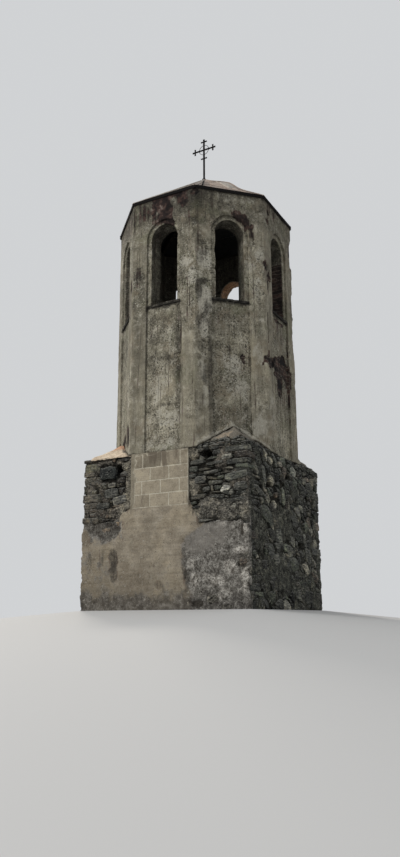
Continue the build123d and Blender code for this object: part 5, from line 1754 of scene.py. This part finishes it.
def iron_cross(material):
    """Forged cross with crosslets, a rod ring round the crossing, rivets, and a strap down the roof."""
    piece = Piece()
    low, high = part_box("iron_cross")
    # Heights of the top bar, the arms and the lower bar; place of the arms' crosslets; radius of the ring
    head, arms, lower, end, radius = high.z - 0.069, ROOF_APEX + 0.89, ROOF_APEX + 0.64, 0.259, 0.134
    forged_bar(piece, (0, 0, low.z), (0, 0, high.z), 0.046, 0.026, 0.08)
    forged_bar(piece, (-0.335, 0, arms), (0.335, 0, arms), 0.038, 0.022, 0.12)
    for z in (head, lower):
        forged_bar(piece, (-0.088, 0, z), (0.088, 0, z), 0.032, 0.020, 0.08)
    for x in (-end, end):
        forged_bar(piece, (x, 0, arms - 0.088), (x, 0, arms + 0.088), 0.036, 0.020, 0.08)
    t = np.linspace(0, 2 * math.pi, 44, endpoint=False)[:, None]
    k = np.linspace(0, 2 * math.pi, 8, endpoint=False)
    r, rod = radius + 0.0065 * np.cos(k), 0.0065 * np.sin(k)
    ring = np.broadcast_arrays(r * np.cos(t), rod, arms + r * np.sin(t))
    piece.add(np.stack(ring, -1), quads(44, 8, True, True))
    knots = [(-radius, arms), (radius, arms), (0, arms), (0, arms + radius), (0, arms - radius)]
    for x, z in knots + [(0, lower), (0, head), (-end, arms), (end, arms)]:
        p, faces = rounded_box((0.024, 0.0155, 0.024), 0.011, 0.02)
        piece.add(p + (x, 0, z), faces)
    p, faces = rounded_box((0.045, 0.045, 0.028), 0.02, 0.03)
    piece.add(p + (0, 0, ROOF_APEX + 0.015), faces)
    # Strap from the foot down to the eave, over the front right side near its hip
    turn = math.radians(27)
    across = np.array((math.cos(turn), math.sin(turn), 0))
    line = [turned((0, -r, roof_height(r * math.cos(TURN - turn)) + 0.020), turn)
            for r in np.linspace(0.03, 1.99, 12)]
    for a, b in zip(line, line[1:]):
        p, faces = rounded_box((0.016, 0.006, np.linalg.norm(b - a) / 2 + 0.004), 0.003, 0.06)
        deep = np.cross(across, (b - a) / np.linalg.norm(b - a))
        piece.add(between(a, b, p, across, deep), faces)
    piece.make("forged_cross", [material], "wrought_iron", ["iron_cross"])


def dress(nodes, material, bevel=0.006):
    """Gives CAD nodes their material and softened edges."""
    for name in nodes:
        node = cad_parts[name]
        node.data.materials.clear()
        node.data.materials.append(material)
        soft = node.modifiers.new("worn_edges", "BEVEL")
        soft.width, soft.segments, soft.limit_method, soft.angle_limit = bevel, 2, "ANGLE", math.radians(40)


# Stage, lights and camera


def stage_floor(material):
    """Pale floor, level under the tower and falling away from it, so that a low camera sees over it."""
    rings = np.concatenate([[0.0, 1.0, 1.9, 2.06, 2.1, 2.2], np.geomspace(2.4, 260, 30)])
    turns = np.linspace(0, 2 * math.pi, 96, endpoint=False)
    points = []
    for r in rings:
        power = 14 if r < 2.3 else 14 * (2.3 / r) ** 1.2 + 2
        size = (np.abs(np.cos(turns)) ** power + np.abs(np.sin(turns)) ** power) ** (-1 / power)
        away = max(0.0, r - 2.1)
        z = -0.115 * min(away, 14) - 0.045 * max(0.0, away - 14) - 0.0005
        points += [(r * k * math.cos(t), r * k * math.sin(t), z) for k, t in zip(size, turns)]
    mesh = bpy.data.meshes.new("stage_floor")
    mesh.from_pydata(points, [], quads(len(rings), len(turns), True))
    outward(mesh, weld=True)
    mesh.materials.append(material)
    shown("stage_floor", mesh)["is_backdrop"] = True


def area_light(name, place, aim, size, power, colour):
    """Soft square light."""
    data = bpy.data.lights.new(name, "AREA")
    data.size, data.energy, data.color = size, power, colour
    light = shown(name, data)
    light.location = place
    light.rotation_mode = "QUATERNION"
    light.rotation_quaternion = (Vector(aim) - Vector(place)).to_track_quat("-Z", "Y")


def lights():
    """Even sky light, a soft key from the front left and a low warm light from behind on the left."""
    world = bpy.data.worlds.new("studio")
    bpy.context.scene.world = world
    world.use_nodes = True
    world.node_tree.nodes["Background"].inputs["Color"].default_value = (0.96, 0.98, 1.0, 1)
    world.node_tree.nodes["Background"].inputs["Strength"].default_value = 0.66
    area_light("key", (-8, -16, 13), (0, 0, 5), 7, 1600, (1.0, 0.985, 0.96))
    area_light("rim", (-12, 9, 17), (0, 0, 6), 3.5, 2200, (1.0, 0.93, 0.84))
    bpy.context.scene.view_settings.view_transform = "Standard"


def camera():
    """Camera of the photograph: near the ground, in front of the right front corner, looking up."""
    yaw, pitch, roll = (math.radians(k) for k in (28.58, 14.22, -0.26))
    ahead = Vector((-math.sin(yaw) * math.cos(pitch), math.cos(yaw) * math.cos(pitch), math.sin(pitch)))
    right = Vector((math.cos(yaw), math.sin(yaw), 0))
    up = right.cross(ahead)
    side = right * math.cos(roll) + up * math.sin(roll)
    over = up * math.cos(roll) - right * math.sin(roll)
    data = bpy.data.cameras.new("photo_camera")
    data.lens, data.sensor_width, data.sensor_fit, data.clip_end = 31.594, 36.0, "AUTO", 500
    made = shown("photo_camera", data)
    turn = Matrix((side, over, -ahead)).transposed()
    made.matrix_world = Matrix.Translation((8.12335, -15.19664, -0.17825)) @ turn.to_4x4()
    bpy.context.scene.camera = made


def tower():
    """Every piece of the tower."""
    stone, bed, render, cap = stone_material(), bed_material(), render_material(), cap_material()
    rubble_base([stone, bed])
    infill(block_material())
    front_coat(coat_material())
    for corner in range(4):
        broach(corner, [cap, stone, bed], corner in (0, 1))
    for face in range(8):
        corner_pier(face, render)
        panel_wall(face, render)
        arch_head(face, render)
    window_sills(sill_material())
    floor_boards(timber_material("floor_timber", (0.10, 0.082, 0.06), (0.045, 0.036, 0.027), 0))
    dark = (0.034, 0.028, 0.022), (0.013, 0.011, 0.009)
    dress(["belfry_joists", "hip_rafters", "wall_plate"], timber_material("frame_timber", *dark, 1))
    dress(["king_post"], timber_material("post_timber", *dark, 2))
    # Dark timber, darkened further as painted shade under the roof's edge
    black = (0.016, 0.014, 0.012), (0.008, 0.007, 0.007)
    dress(["eave_board"], timber_material("eave_timber", *black, 0), 0.003)
    dress(["door_lintel"], stone, 0.01)
    roof_sheets(sheet_material())
    iron_cross(iron_material())


def write_sizes():
    """Works out the box of the CAD model and that of the dressed one."""
    boxes = [[list(corner) for corner in box] for box in (CAD_BOX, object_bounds())]


tower()
stage_floor(floor_material())
lights()
camera()
write_sizes()
